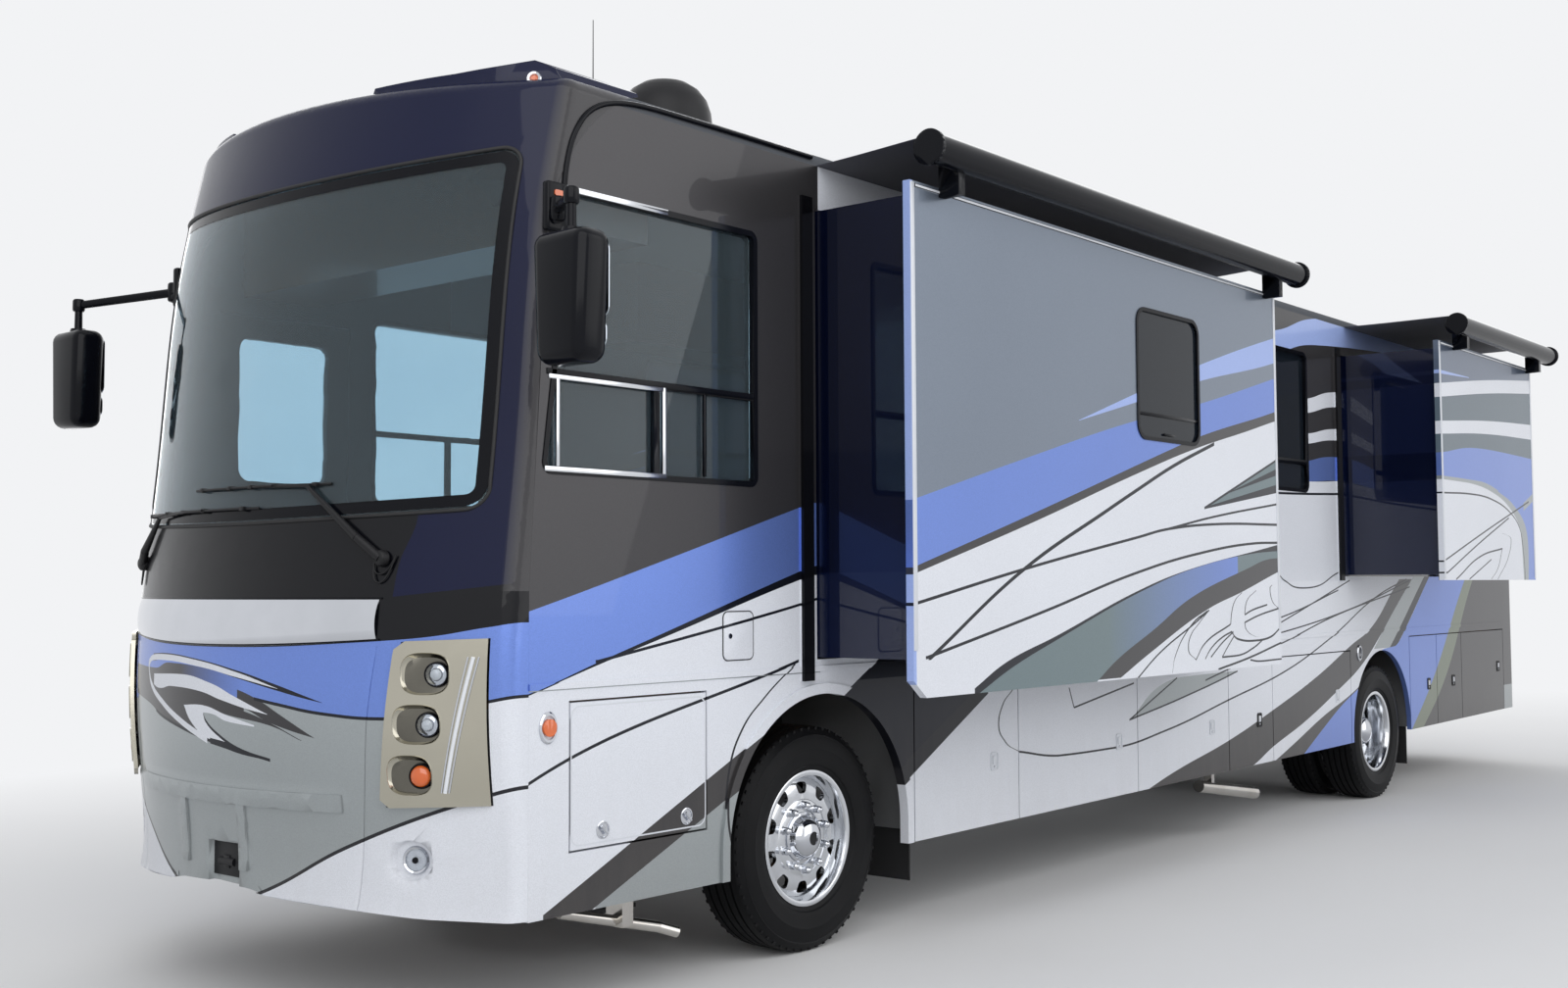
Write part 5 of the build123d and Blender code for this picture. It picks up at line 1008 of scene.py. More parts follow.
def tyre(bm, place):
    """A ribbed tyre with small lugs round both shoulders."""
    turned(bm, tyre_profile(), place, (0, 1, 0), 96)
    for side in (1, -1):
        middle = Vector((place[0], place[1] + side * 0.1105, place[2]))
        lug = cuboid(bm, middle + Vector((-0.007, -0.006, 0.475)), middle + Vector((0.007, 0.006, 0.49)))
        bmesh.ops.spin(bm, geom=lug, cent=place, axis=(0, 1, 0), angle=2 * pi, steps=60, use_duplicate=True)


def wheel_disc(bm, centre, side, disc_out):
    """The dished alloy disc with ten rounded hand holes, made one sector at a time."""
    half = pi / WHEEL_NUTS
    mid, reach = (DISC_INNER + DISC_OUTER) / 2, (DISC_OUTER - DISC_INNER) / 2
    ring, hole = (bmesh.ops.create_circle(bm, segments=32, radius=1)["verts"] for _ in range(2))

    def on_disc(turn, radius):
        dish = 0.018 * max(0.0, (radius - 0.2) / 0.062) ** 2
        spot = Vector((radius * sin(turn), side * (disc_out + 0.016 - dish), radius * cos(turn)))
        return spot + Vector(centre)

    for vert in ring:
        x, y, _ = vert.co
        stretch = 1 / max(abs(x), abs(y))
        vert.co = on_disc(x * stretch * half, mid + y * stretch * reach)
    for vert in hole:
        x, y, _ = vert.co
        soft = (abs(x) ** 3.5 + abs(y) ** 3.5) ** (-1 / 3.5)
        vert.co = on_disc(x * soft * 0.032 / mid * (1 + 0.18 * y), mid + 0.004 + y * soft * 0.026)
    flat = bmesh.ops.bridge_loops(bm, edges=edges_of(ring + hole))["faces"]
    wall = bmesh.ops.extrude_edge_only(bm, edges=[edge for edge in edges_of(hole) if edge.is_boundary])
    bmesh.ops.translate(bm, verts=new_verts(wall), vec=(0, -side * 0.02, 0))
    sector = flat + [item for item in wall["geom"] if isinstance(item, bmesh.types.BMFace)]
    share = (WHEEL_NUTS - 1) / WHEEL_NUTS
    bmesh.ops.spin(bm, geom=sector, cent=centre, axis=(0, 1, 0), angle=2 * pi * share, steps=WHEEL_NUTS - 1,
                   use_duplicate=True)


def lug_covers(bm, centre, side, disc_out):
    """Bright bullet covers over the wheel nuts."""
    cover = [(0.021, 0), (0.021, 0.006), (0.0175, 0.01), (0.0165, 0.034), (0.013, 0.045), (0.007, 0.05),
             (0, 0.052)]
    for index in range(WHEEL_NUTS):
        turn = radians(360 / WHEEL_NUTS * index)
        foot = Vector(centre) + Vector((0.1425 * sin(turn), side * (disc_out + 0.012), 0.1425 * cos(turn)))
        turned(bm, cover, foot, (0, side, 0), 16, 1)


def front_rim(bm, side):
    """The rim round its disc, with the domed hub cap."""
    centre, out = (0, side * FRONT_TYRE, WHEEL_Z), 0.06
    wheel_disc(bm, centre, side, out)
    rings(
        bm, centre, (0, side, 0),
        lip=(96, 0, [(DISC_OUTER, out), (0.268, 0.095), (0.276, 0.112), (0.29, 0.1165), (0.2985, 0.114),
                     (0.2975, 0.106), (0.286, 0.1)]),
        barrel=(64, 0, [(0.2625, out), (0.262, -0.06), (0.284, -0.105), (0.2978, -0.112), (0.29, -0.117),
                        (0.262, -0.112), (0.25, -0.06)]),
        seat=(64, 0, [(DISC_INNER, out + 0.016), (0.16, out + 0.02), (0.122, out + 0.02), (0.118, out + 0.012),
                      (0.098, out + 0.014)]),
        cap=(64, 1, [(0.112, out + 0.012), (0.11, out + 0.02), (0.098, out + 0.024), (0.092, 0.096),
                     (0.088, 0.108), (0.078, 0.124), (0.062, 0.136), (0.044, 0.1415), (0.03, 0.1435),
                     (0.028, 0.1385)]),
        cap_middle=(64, 2, [(0.028, 0.1385), (0, 0.1385)]),
        hub=(32, 0, [(0.098, out + 0.013), (0.098, -0.09), (0.04, -0.09)]),
    )
    lug_covers(bm, centre, side, out)


def rear_rims(bm, side):
    """The deep outer rim of a twin wheel, its hub and the inner rim behind it."""
    outer, out = (REAR_AXLE, side * OUTER_TYRE, WHEEL_Z), -0.07
    wheel_disc(bm, outer, side, out)
    rings(
        bm, outer, (0, side, 0),
        lip=(96, 0, [(DISC_OUTER, out), (0.262, 0.03), (0.268, 0.095), (0.276, 0.112), (0.29, 0.1165),
                     (0.2985, 0.114), (0.2975, 0.106)]),
        barrel=(64, 0, [(0.2625, out), (0.27, -0.09), (0.2978, -0.112), (0.284, -0.116), (0.262, -0.1)]),
        seat=(64, 0, [(DISC_INNER, out + 0.016), (0.16, out + 0.02), (0.122, out + 0.02),
                      (0.098, out + 0.016)]),
        hub=(64, 1, [(0.112, out + 0.012), (0.108, out + 0.03), (0.104, -0.01), (0.098, 0.035), (0.088, 0.052),
                     (0.06, 0.066), (0.03, 0.0735), (0, 0.0735)]),
        spindle=(32, 0, [(0.098, out + 0.013), (0.098, -0.335), (0.04, -0.335)]),
    )
    lug_covers(bm, outer, side, out)
    rings(
        bm, (REAR_AXLE, side * INNER_TYRE, WHEEL_Z), (0, side, 0),
        hidden=(64, 0, [(0.2978, 0.112), (0.284, 0.106), (0.266, 0.06), (0.262, -0.06), (0.284, -0.105),
                        (0.2978, -0.112)]),
        disc=(48, 0, [(0.266, 0.05), (0.18, 0.056), (0.102, 0.056)]),
    )


def front_tyre(bm, side):
    tyre(bm, Vector((0, side * FRONT_TYRE, WHEEL_Z)))


def rear_tyres(bm, side):
    for middle in (OUTER_TYRE, INNER_TYRE):
        tyre(bm, Vector((REAR_AXLE, side * middle, WHEEL_Z)))


for word, side in (("left", 1), ("right", -1)):
    for shape, wheel, ending, materials, slot, crease in (
        (front_tyre, "front_wheel_", "_ribbed", TYRE, "tyre", 28),
        (rear_tyres, "rear_wheel_", "_ribbed", TYRE, "tyre", 28),
        (front_rim, "front_wheel_", "_polished", [ALLOY, CHROME, BLACK_SATIN], "rim_alloy", 35),
        (rear_rims, "rear_wheel_", "_polished", [ALLOY, CHROME], "rim_alloy", 35),
    ):
        node = "%s_%s" % (shape.__name__, word)
        piece(node + ending, materials, slot, [node], wheel + word, crease)(lambda bm: shape(bm, side))


# Nose: chrome strip, wipers, windshield seal, lamps

ARC = 1.99       # radius of the nose seen from above


def nose_normal(y):
    """The way the nose faces at a place across it."""
    return Vector(((ARC ** 2 - y * y) ** 0.5, y, 0)) / ARC


@piece("chrome_strip", CHROME, "chrome")
def chrome_strip(bm):
    """The bright strip under the windshield, wrapped on the nose."""
    bmesh.ops.create_grid(bm, x_segments=48, y_segments=14, size=0.5)
    for vert in bm.verts:
        y = vert.co.x * 1.66
        low = 1.4 + 0.028 * (y / 0.83) ** 2
        across = vert.co.y + 0.5
        vert.co = NOSE_SKIN(y, low + across * (1.572 - low), 0.003 + 0.014 * sin(pi * across) ** 0.7)
    bmesh.ops.solidify(bm, geom=bm.faces[:], thickness=0.006)


@piece("chrome_strip_edges", BLACK_GLOSS, "black_trim")
def chrome_strip_edges(bm):
    for height, bulge in ((1.576, 0.0), (1.398, 0.028)):
        shares = [step / 24 for step in range(-24, 25)]
        along_path(bm, [NOSE_SKIN(share * 0.84, height + bulge * share ** 2, 0.003) for share in shares], 0.004)


@piece("wiper_arms", BLACK_SATIN, "black_trim", ["wipers"], crease=50)
def wiper_arms(bm):
    """Two wipers: capped pivots, tapered arms, blades in clips along the glass, and washer hoses."""
    for pivot, knee, (start, end, height) in (
        ((0.832, 1.722), (0.5, 1.996), (-0.205, 0.59, 2.003)),
        ((-0.832, 1.722), (-0.56, 1.905), (-0.83, 0.246, 1.921)),
    ):
        foot, tip = NOSE_SKIN(*pivot, 0.02), SHIELD_SKIN(*knee, 0.024)
        turned(bm, [(0.03, -0.02), (0.03, 0.006), (0.024, 0.012), (0, 0.014)], foot, (1, 0, 0), 28)
        bend = foot.lerp(tip, 0.28) + Vector((0.012, 0, 0))
        bar(bm, foot, bend, 0.019, 0.017, 18)
        bar(bm, bend, tip, 0.017, 0.008, 18)
        run = [SHIELD_SKIN(start + (end - start) * step / 12, height, 0.006) for step in range(13)]
        along_path(bm, run, 0.0055, 8)
        along_path(bm, [point + Vector((0.01, 0, 0)) for point in run[1:-1]], 0.0045, 8)
        for spot in (run[step] for step in (1, 4, 6, 8, 11)):
            cuboid(bm, spot - Vector((0.004, 0.012, 0.008)), spot + Vector((0.016, 0.012, 0.008)), 0.002)
        along_path(bm, [tip, *[point + Vector((0.018, 0, 0)) for point in run[6:9]]], 0.005, 8)
        for slack in (0.055, 0.085):
            hose = [(foot.y * 0.97, foot.z), (foot.y * 0.985 - 0.02, foot.z - slack),
                    (foot.y * 1.03, foot.z - slack * 1.1), (foot.y * 1.06, foot.z + 0.01)]
            along_path(bm, [NOSE_SKIN(y, z, 0.012) for y, z in hose], 0.0035, 8)


def rounded_loop(bm, half, corner, steps=8, cuts=10):
    """A loop about the origin in X and Y with round corners, its straight runs divided."""
    verts = bmesh.ops.create_circle(bm, segments=4 * steps, radius=1)["verts"]
    for index, vert in enumerate(verts):
        quarter, step = divmod(index, steps)
        turn = pi / 2 * (quarter + step / (steps - 1))
        east, north = (1, -1, -1, 1)[quarter], (1, 1, -1, -1)[quarter]
        vert.co.x = east * (half[0] - corner) + corner * cos(turn)
        vert.co.y = north * (half[1] - corner) + corner * sin(turn)
    runs = [edge for edge in edges_of(verts) if edge.calc_length() > corner]
    bmesh.ops.subdivide_edges(bm, edges=runs, cuts=cuts)


def joined(bm, other):
    """Add another bmesh to one, and free it."""
    mesh = bpy.data.meshes.new("part")
    other.to_mesh(mesh)
    other.free()
    bm.from_mesh(mesh)
    bpy.data.meshes.remove(mesh)


def ring_strip(bm, half, corner, width, thick, place, steps=8, cuts=10, mat=0):
    """A flat frame with round corners drawn in X and Y, each of its points then carried by place."""
    ring = bmesh.new()
    rounded_loop(ring, half, corner, steps, cuts)
    rounded_loop(ring, (half[0] - width, half[1] - width), max(corner - width, 0.004), steps, cuts)
    flat = bmesh.ops.bridge_loops(ring, edges=ring.edges[:])["faces"]
    top = bmesh.ops.extrude_face_region(ring, geom=flat)
    bmesh.ops.translate(ring, verts=new_verts(top), vec=(0, 0, thick))
    for face in ring.faces:
        face.material_index = mat
    for vert in ring.verts:
        vert.co = place(vert.co.copy())
    joined(bm, ring)


def on_side(x, y, z, side=1):
    """Carries points drawn in X and Y onto a side wall."""
    return lambda point: Vector((x - side * point.x, y + side * point.z, z + point.y))


def shield_height(across, share):
    """A height on the windshield: share is 0 along its bowed lower edge and 1 along its upper edge."""
    low, high = (middle + bow * (across / 1.165) ** 2 for middle, bow in ((1.865, 0.04), (3.19, 0.085)))
    return low + (high - low) * share


@piece("windshield_band", BLACK_GLOSS, "black_trim")
def windshield_band(bm):
    """The black band printed round the windshield's glass."""
    def place(point):
        return SHIELD_SKIN(point.x, shield_height(point.x, 0.5 + point.y / 1.33), 0.0008 + point.z)
    ring_strip(bm, (1.158, 0.655), 0.075, 0.042, 0.001, place, 8, 24)


@piece("windshield_seal", RUBBER, "black_trim", crease=60)
def windshield_seal(bm):
    """The rubber round the windshield, along a loop walked from vertex to vertex."""
    half_high = 0.668
    reach = half_high / 0.655 * 0.5 * 0.985
    rounded_loop(bm, (1.167, half_high), 0.08, 8, 24)
    bm.verts.ensure_lookup_table()
    order, vert, edge = [], bm.verts[0], None
    while len(order) < len(bm.verts):
        order.append(vert.co.copy())
        edge = next(link for link in vert.link_edges if link != edge)
        vert = edge.other_vert(vert)
    bm.clear()
    points = [NOSE_SKIN(x, shield_height(x, 0.5 + y / half_high * reach), 0.001) for x, y, _ in order]
    along_path(bm, points, 0.008, 8, 0, True)


# middle of each pocket in the lamp panels, half its size, and the height of its floor's middle
POCKETS = ((1.0215, 1.304, 0.0805, 0.076, 1.298), (0.994, 1.122, 0.08, 0.072, 1.118),
           (0.9645, 0.9395, 0.0755, 0.0725, 0.932))
PANEL_LOW, PANEL_HIGH, PANEL_LEFT, PANEL_RIGHT = 0.818, 1.417, 0.853, 1.212
PANEL_WIDE, PANEL_TILT = 0.359, 0.014
PANEL_BACK = 1.225                      # Y where the panel's height over the nose is measured
CELL_LIMITS = (PANEL_HIGH, 1.213, 1.031, PANEL_LOW)
CELL_RIGHT = 1.128
# scale and depth of the loops from a pocket's rim to its floor, which is deeper to one side
POCKET_STEPS = ((0.975, 0.004), (0.95, 0.0), (0.84, None), (0.62, None))


def panel_point(y, z, out=0.0):
    """A place on the face of the lamp panel, also over its pockets."""
    lift = NOSE_SKIN(PANEL_BACK, z).x - (nose_normal(PANEL_BACK).x - 1) * ARC + 0.008
    return Vector((lift + (nose_normal(y).x - 1) * ARC, y, z)) + nose_normal(y) * out


def panel_left(z):
    """The inner edge of the panel, with round corners."""
    round_off = 0.035
    gap = min(z - PANEL_LOW, PANEL_HIGH - z)
    curve = round_off - (round_off ** 2 - (round_off - gap) ** 2) ** 0.5 if gap < round_off else 0
    return PANEL_LEFT + 0.064 * (z - PANEL_LOW) / (PANEL_HIGH - PANEL_LOW) + curve


def tilt(across):
    """How much higher the panel's cells lie toward its outer edge."""
    return PANEL_TILT * across / PANEL_WIDE


def spot_of(vert):
    return tuple(round(value, 5) for value in vert.co)


def headlamp_panel(bm, side):
    """A bright panel on the nose's corner with three scooped pockets."""
    panel = bmesh.new()
    for (y, z, half_y, half_z, floor_z), high, low in zip(POCKETS, CELL_LIMITS, CELL_LIMITS[1:]):
        ring, hole = (bmesh.ops.create_circle(panel, segments=40, radius=1)["verts"] for _ in range(2))
        rim = [vert.co.copy() for vert in hole]

        def scoop(point, scale, out, height):
            soft = (abs(point.x) ** 3 + abs(point.y) ** 3) ** (-1 / 3)
            across, above = point.x * soft * half_y, point.y * soft * half_z
            return panel_point(y + across * scale, height + above * scale, out)

        for vert in ring:
            x, up, _ = vert.co
            stretch = 1 / max(abs(x), abs(up))
            height = low + (high - low) * (up * stretch + 1) / 2
            left = panel_left(height)
            across = left + (CELL_RIGHT - left) * (x * stretch + 1) / 2
            vert.co = panel_point(across, height + tilt(across - PANEL_LEFT))
        for vert, point in zip(hole, rim):
            vert.co = scoop(point, 1, 0, z)
        bmesh.ops.bridge_loops(panel, edges=edges_of(ring + hole))
        loop = [edge for edge in edges_of(hole) if edge.is_boundary]
        places = {spot_of(vert): point for vert, point in zip(hole, rim)}
        for scale, out in POCKET_STEPS:
            made = bmesh.ops.extrude_edge_only(panel, edges=loop)
            fresh = [(vert, places[spot_of(vert)]) for vert in new_verts(made)]
            for vert, point in fresh:
                on_floor = out is None
                depth = -(0.02 + 0.012 * point.x) if on_floor else out
                vert.co = scoop(point, scale, depth, floor_z if on_floor else z)
            places = {spot_of(vert): point for vert, point in fresh}
            loop = [item for item in made["geom"] if isinstance(item, bmesh.types.BMEdge) and item.is_boundary]
        floor = bmesh.ops.contextual_create(panel, geom=loop)["faces"]
        # the pocket's floor and the faces round it take the darker nickel: painted shade in the recess
        for face in {near for edge in floor[0].edges for near in edge.link_faces}:
            face.material_index = 1
    bmesh.ops.remove_doubles(panel, verts=panel.verts, dist=1e-5)
    rims = [edge for edge in panel.edges if edge.is_boundary]
    right = [edge for edge in rims if min(vert.co.y for vert in edge.verts) > CELL_RIGHT - 1e-4]
    for vert in new_verts(bmesh.ops.extrude_edge_only(panel, edges=right)):
        vert.co = panel_point(PANEL_RIGHT, vert.co.z + tilt(PANEL_RIGHT - CELL_RIGHT))
    rims = [edge for edge in panel.edges if edge.is_boundary]
    for vert in new_verts(bmesh.ops.extrude_edge_only(panel, edges=rims)):
        vert.co -= nose_normal(vert.co.y) * 0.016
    bmesh.ops.scale(panel, verts=panel.verts, vec=(1, side, 1))
    joined(bm, panel)


@piece("headlamp_surrounds", [NICKEL, SHADED_NICKEL], "chrome", ["headlamp_panels"], crease=40)
def headlamp_surrounds(bm):
    for side in (1, -1):
        headlamp_panel(bm, side)


@piece("headlamp_details", [CHROME, BLACK_GLOSS, LENS_GLASS, AMBER, CLEAR_LENS, LIGHT_BAR], "chrome")
def lamp_details(bm):
    """Projector and signal lamps in the pockets, the slanted light bars and the fog lamps."""
    for side in (1, -1):
        for index, (y, z, _, _, floor_z) in enumerate(POCKETS):
            amber = index == 2
            out = nose_normal(side * (y + 0.034))
            face = panel_point(y + 0.034, (z + floor_z) / 2)
            centre = Vector((face.x, side * face.y, face.z)) - out * 0.03
            bowl = [(0.01, 0.01)] if amber else [(0.03, 0.004), (0.021, 0.008), (0.019, 0.016)]
            rings(
                bm, centre, out,
                ring=(40, 1, [(0.047, -0.004), (0.047, 0.012), (0.044, 0.02), (0.04, 0.02), (0.038, 0.01)]),
                bowl=(40, 0, [(0.038, 0.01), *bowl]),
                lens=(40, 3 if amber else 2, [(0.0385, 0.017), (0.036, 0.024), (0.029, 0.0305), (0.018, 0.034),
                                              (0, 0.0355)]),
            )
            if not amber:
                turned(bm, [(0.02, 0.008), (0.019, 0.018), (0.013, 0.024), (0, 0.027)], centre, out, 32, 4)
        for shift, radius, mat in ((0, 0.0075, 5), (0.014, 0.0035, 0), (-0.014, 0.0035, 0)):
            points = []
            for step in range(9):
                share = step / 8
                y = 1.078 + 0.094 * share + shift * (0.85 + 0.3 * share)
                spot = panel_point(y, 0.878 + 0.487 * share, 0.002)
                points.append(Vector((spot.x, side * spot.y, spot.z)))
            along_path(bm, points, radius, 10, mat)
        y = side * 0.928       # the fog lamp in its dish
        rings(
            bm, NOSE_SKIN(y, 0.627), nose_normal(y),
            bezel=(48, 0, [(0.052, -0.012), (0.052, 0.004), (0.047, 0.01), (0.041, 0.006), (0.039, -0.002)]),
            lens=(40, 2, [(0.039, 0.002), (0.034, 0.008), (0.02, 0.012), (0, 0.013)]),
            bulb=(24, 1, [(0.012, 0.008), (0.011, 0.0145), (0, 0.0165)]),
        )


@piece("hatch_cover", BLACK_SATIN, "black_trim")
def hatch_cover(bm):
    """The hatch over the towing eye."""
    x = NOSE_SKIN(0.07, 0.52).x
    cuboid(bm, (x - 0.002, -0.025, 0.51), (x + 0.008, 0.165, 0.64), 0.004)
    bar(bm, (x + 0.004, 0.02, 0.565), (x + 0.004, 0.12, 0.565), 0.016, segments=20)
    cuboid(bm, (x + 0.004, 0.05, 0.54), (x + 0.014, 0.09, 0.59), 0.004)


# Windows, latches and other small parts of the sides

def side_ring(bm, x, z, y, wide, high, corner, width, thick):
    """A frame with round corners on the left wall."""
    ring_strip(bm, (wide / 2, high / 2), corner, width, thick, on_side(x, y, z), 8, 4)


@piece("driver_window_trim", ALLOY, "window_alloy")
def driver_window_trim(bm):
    """Bright strips round the front half of the driver's window and its sliding pane."""
    for back, front, low, high, deep, out, bevel in (
        (1.02, 1.6, 3.098, 3.122, 0.006, 0.006, 0.004), (1.045, 1.655, 2.385, 2.403, 0.01, 0.003, 0.003),
        (1.03, 1.052, 2.05, 2.403, 0.01, 0.003, 0.003), (1.03, 1.675, 2.04, 2.06, 0.01, 0.004, 0.003),
        (1.6, 1.618, 2.06, 2.39, 0.01, 0.003, 0.003),
    ):
        cuboid(bm, (back, SIDE - deep, low), (front, SIDE + 0.002 + out, high), bevel)


@piece("driver_window_bars", BLACK_GLOSS, "window_alloy")
def driver_window_bars(bm):
    cuboid(bm, (0.5, SIDE - 0.01, 2.4), (1.665, SIDE + 0.004, 2.424), 0.003)
    cuboid(bm, (0.79, SIDE - 0.012, 2.06), (0.805, SIDE, 2.4), 0.002)


@piece("slide_1_window_trim", BLACK_GLOSS, "window_alloy", body="slide_1")
def slide_window_trim(bm):
    """The black frame and sash bars of the first room's window."""
    side_ring(bm, -2.24, 2.7025, SLIDE_1_FACE - 0.004, 0.716, 0.691, 0.088, 0.02, 0.01)
    cuboid(bm, (-2.575, SLIDE_1_FACE - 0.008, 2.487), (-1.905, SLIDE_1_FACE + 0.002, 2.503), 0.003)
    cuboid(bm, (-2.3, SLIDE_1_FACE - 0.008, 2.392), (-2.18, SLIDE_1_FACE + 0.004, 2.404), 0.003)


# extrusions down the corners of the slide-out rooms, and their drip rails
for room, face, back, front, low, high in (
    ("slide_1", SLIDE_1_FACE, -3.624, 0.11, 1.34, 3.325), ("slide_2", SLIDE_2_FACE, -8.17, -6.0, 1.64, 3.305),
):
    @piece(room + "_corner_trim", [TRIM_PAINT, BLACK_GLOSS], "body_paint", body=room)
    def corner_trim(bm):
        for x in (front - 0.016, back + 0.016):
            cuboid(bm, (x - 0.014, face - 0.004, low), (x + 0.014, face + 0.004, high), 0.003)
        rail = (back + 0.03, face - 0.004, high - 0.022), (front - 0.03, face + 0.006, high - 0.006)
        cuboid(bm, *rail, 0.003, 2, 1)


# X and Z of the latches, the side of the coach, and 1 for a black latch
BAY_LATCHES = [
    ("bay_door_1", -1.345, 0.727, 1, 0), ("bay_door_2", -2.64, 0.727, 1, 0),
    ("bay_door_3", -3.824, 0.727, 1, 0), ("bay_door_4", -4.521, 0.727, 1, 1),
    ("bay_door_5", -5.849, 0.81, 1, 0), ("bay_door_6", -7.755, 0.805, 1, 1),
    ("bay_door_7", -8.349, 0.805, 1, 1), ("bay_door_8", -9.545, 0.874, 1, 1),
]
for door in RIGHT_BAY_DOORS:
    BAY_LATCHES.append((door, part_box(door)[0].x - ORIGIN.x + 0.22, 0.76, -1, 0))
for door, x, z, side, mat in BAY_LATCHES:
    @piece(door + "_latch", [TRIM_PAINT, BLACK_SATIN, CHROME], "chrome", body=door)
    def latch(bm):
        """A paddle latch in its round-cornered cup."""
        y = side * (SIDE - 0.0005)
        ring_strip(bm, (0.034, 0.046), 0.014, 0.006, 0.005, on_side(x, y, z, side), 5, 2, mat)
        rounded_plate(bm, (x, y + side * 0.0005, z), 0.058, 0.082, 0.01, 0.003, "Y", mat)
        rounded_plate(bm, (x, y + side * 0.004, z + 0.008), 0.036, 0.042, 0.008, 0.006, "Y", mat, 0.0015)
        bar(bm, (x, y + side * 0.001, z - 0.026), (x, y + side * 0.006, z - 0.026), 0.007, 0.006, 14, 2)


@piece("locker_handles", CHROME, "chrome", body="locker_door")
def locker_handles(bm):
    """Two folding T handles in cups at the foot of the big locker door."""
    cup = [(0.034, 0.0), (0.034, 0.003), (0.029, 0.004), (0.027, 0.001), (0, 0.001)]
    for x in (1.375, 0.915):
        turned(bm, cup, (x, SIDE - 0.0005, 0.7), (0, 1, 0), 32)
        bar(bm, (x, SIDE, 0.7), (x, SIDE + 0.014, 0.7), 0.005, segments=12)
        bar(bm, (x - 0.016, SIDE + 0.012, 0.683), (x + 0.016, SIDE + 0.012, 0.717), 0.0055, segments=12)


@piece("locker_door_groove", TRIM_PAINT, "body_paint", body="locker_door")
def locker_door_groove(bm):
    side_ring(bm, 1.17, 0.912, SIDE - 0.003, 0.74, 0.52, 0.045, 0.006, 0.0036)


@piece("filler_door", [BODY_SIDE, CHROME], "body_paint")
def filler_door(bm):
    """The small door with a lock behind the driver's window."""
    rounded_plate(bm, (0.6, SIDE + 0.001, 1.408), 0.183, 0.195, 0.025, 0.006, "Y", 0, 0.002)
    bar(bm, (0.655, SIDE + 0.002, 1.408), (0.655, SIDE + 0.008, 1.408), 0.012, 0.011, 20, 1)


@piece("filler_door_gasket", RUBBER, "black_trim")
def filler_door_gasket(bm):
    side_ring(bm, 0.6, 1.408, SIDE - 0.001, 0.194, 0.206, 0.03, 0.004, 0.003)


@piece("marker_rims", CHROME, "chrome")
def marker_rims(bm):
    """Chrome rims round the amber side markers, higher than they are wide."""
    height, stretch = 1.1, 1.35
    rim = [(0.044, -0.001), (0.044, 0.004), (0.039, 0.009), (0.033, 0.009), (0.032, 0.0)]
    for side in (1, -1):
        for x in (1.652, -6.283):
            turned(bm, rim, (x, side * SIDE, height), (0, side, 0), 32)
    for vert in bm.verts:
        vert.co.z = height + (vert.co.z - height) * stretch


@piece("corner_lamps", [CHROME, AMBER], "chrome")
def corner_lamps(bm):
    """A small amber lamp in a chrome rim on each upper corner of the nose."""
    for side in (1, -1):
        rings(
            bm, NOSE_SKIN(side * 1.119, 3.557), Vector((0.791, side * 0.582, 0.188)).normalized(),
            rim=(32, 0, [(0.03, -0.012), (0.03, 0.002), (0.026, 0.007), (0.018, 0.006), (0.015, 0.002)]),
            lens=(32, 1, [(0.0, 0.01), (0.009, 0.008), (0.0145, 0.002), (0.0145, -0.004)]),
        )


# X and Z of the rubber bead along the top of the wall and down the seam behind the nose
BEAD = ((0.1, 3.518), (0.5, 3.518), (0.9, 3.517), (1.12, 3.515), (1.25, 3.505), (1.348, 3.485),
        (1.427, 3.45), (1.488, 3.397), (1.538, 3.313), (1.563, 3.231), (1.578, 3.15), (1.582, 3.09))


@piece("seam_beads", BLACK_GLOSS, "black_trim", crease=60)
def seam_beads(bm):
    """The round rubber bead over each cab window."""
    for side in (1, -1):
        along_path(bm, [(x, side * (SIDE + 0.002), z) for x, z in BEAD], 0.011, 12)


# Mirrors

ARM = 0.021


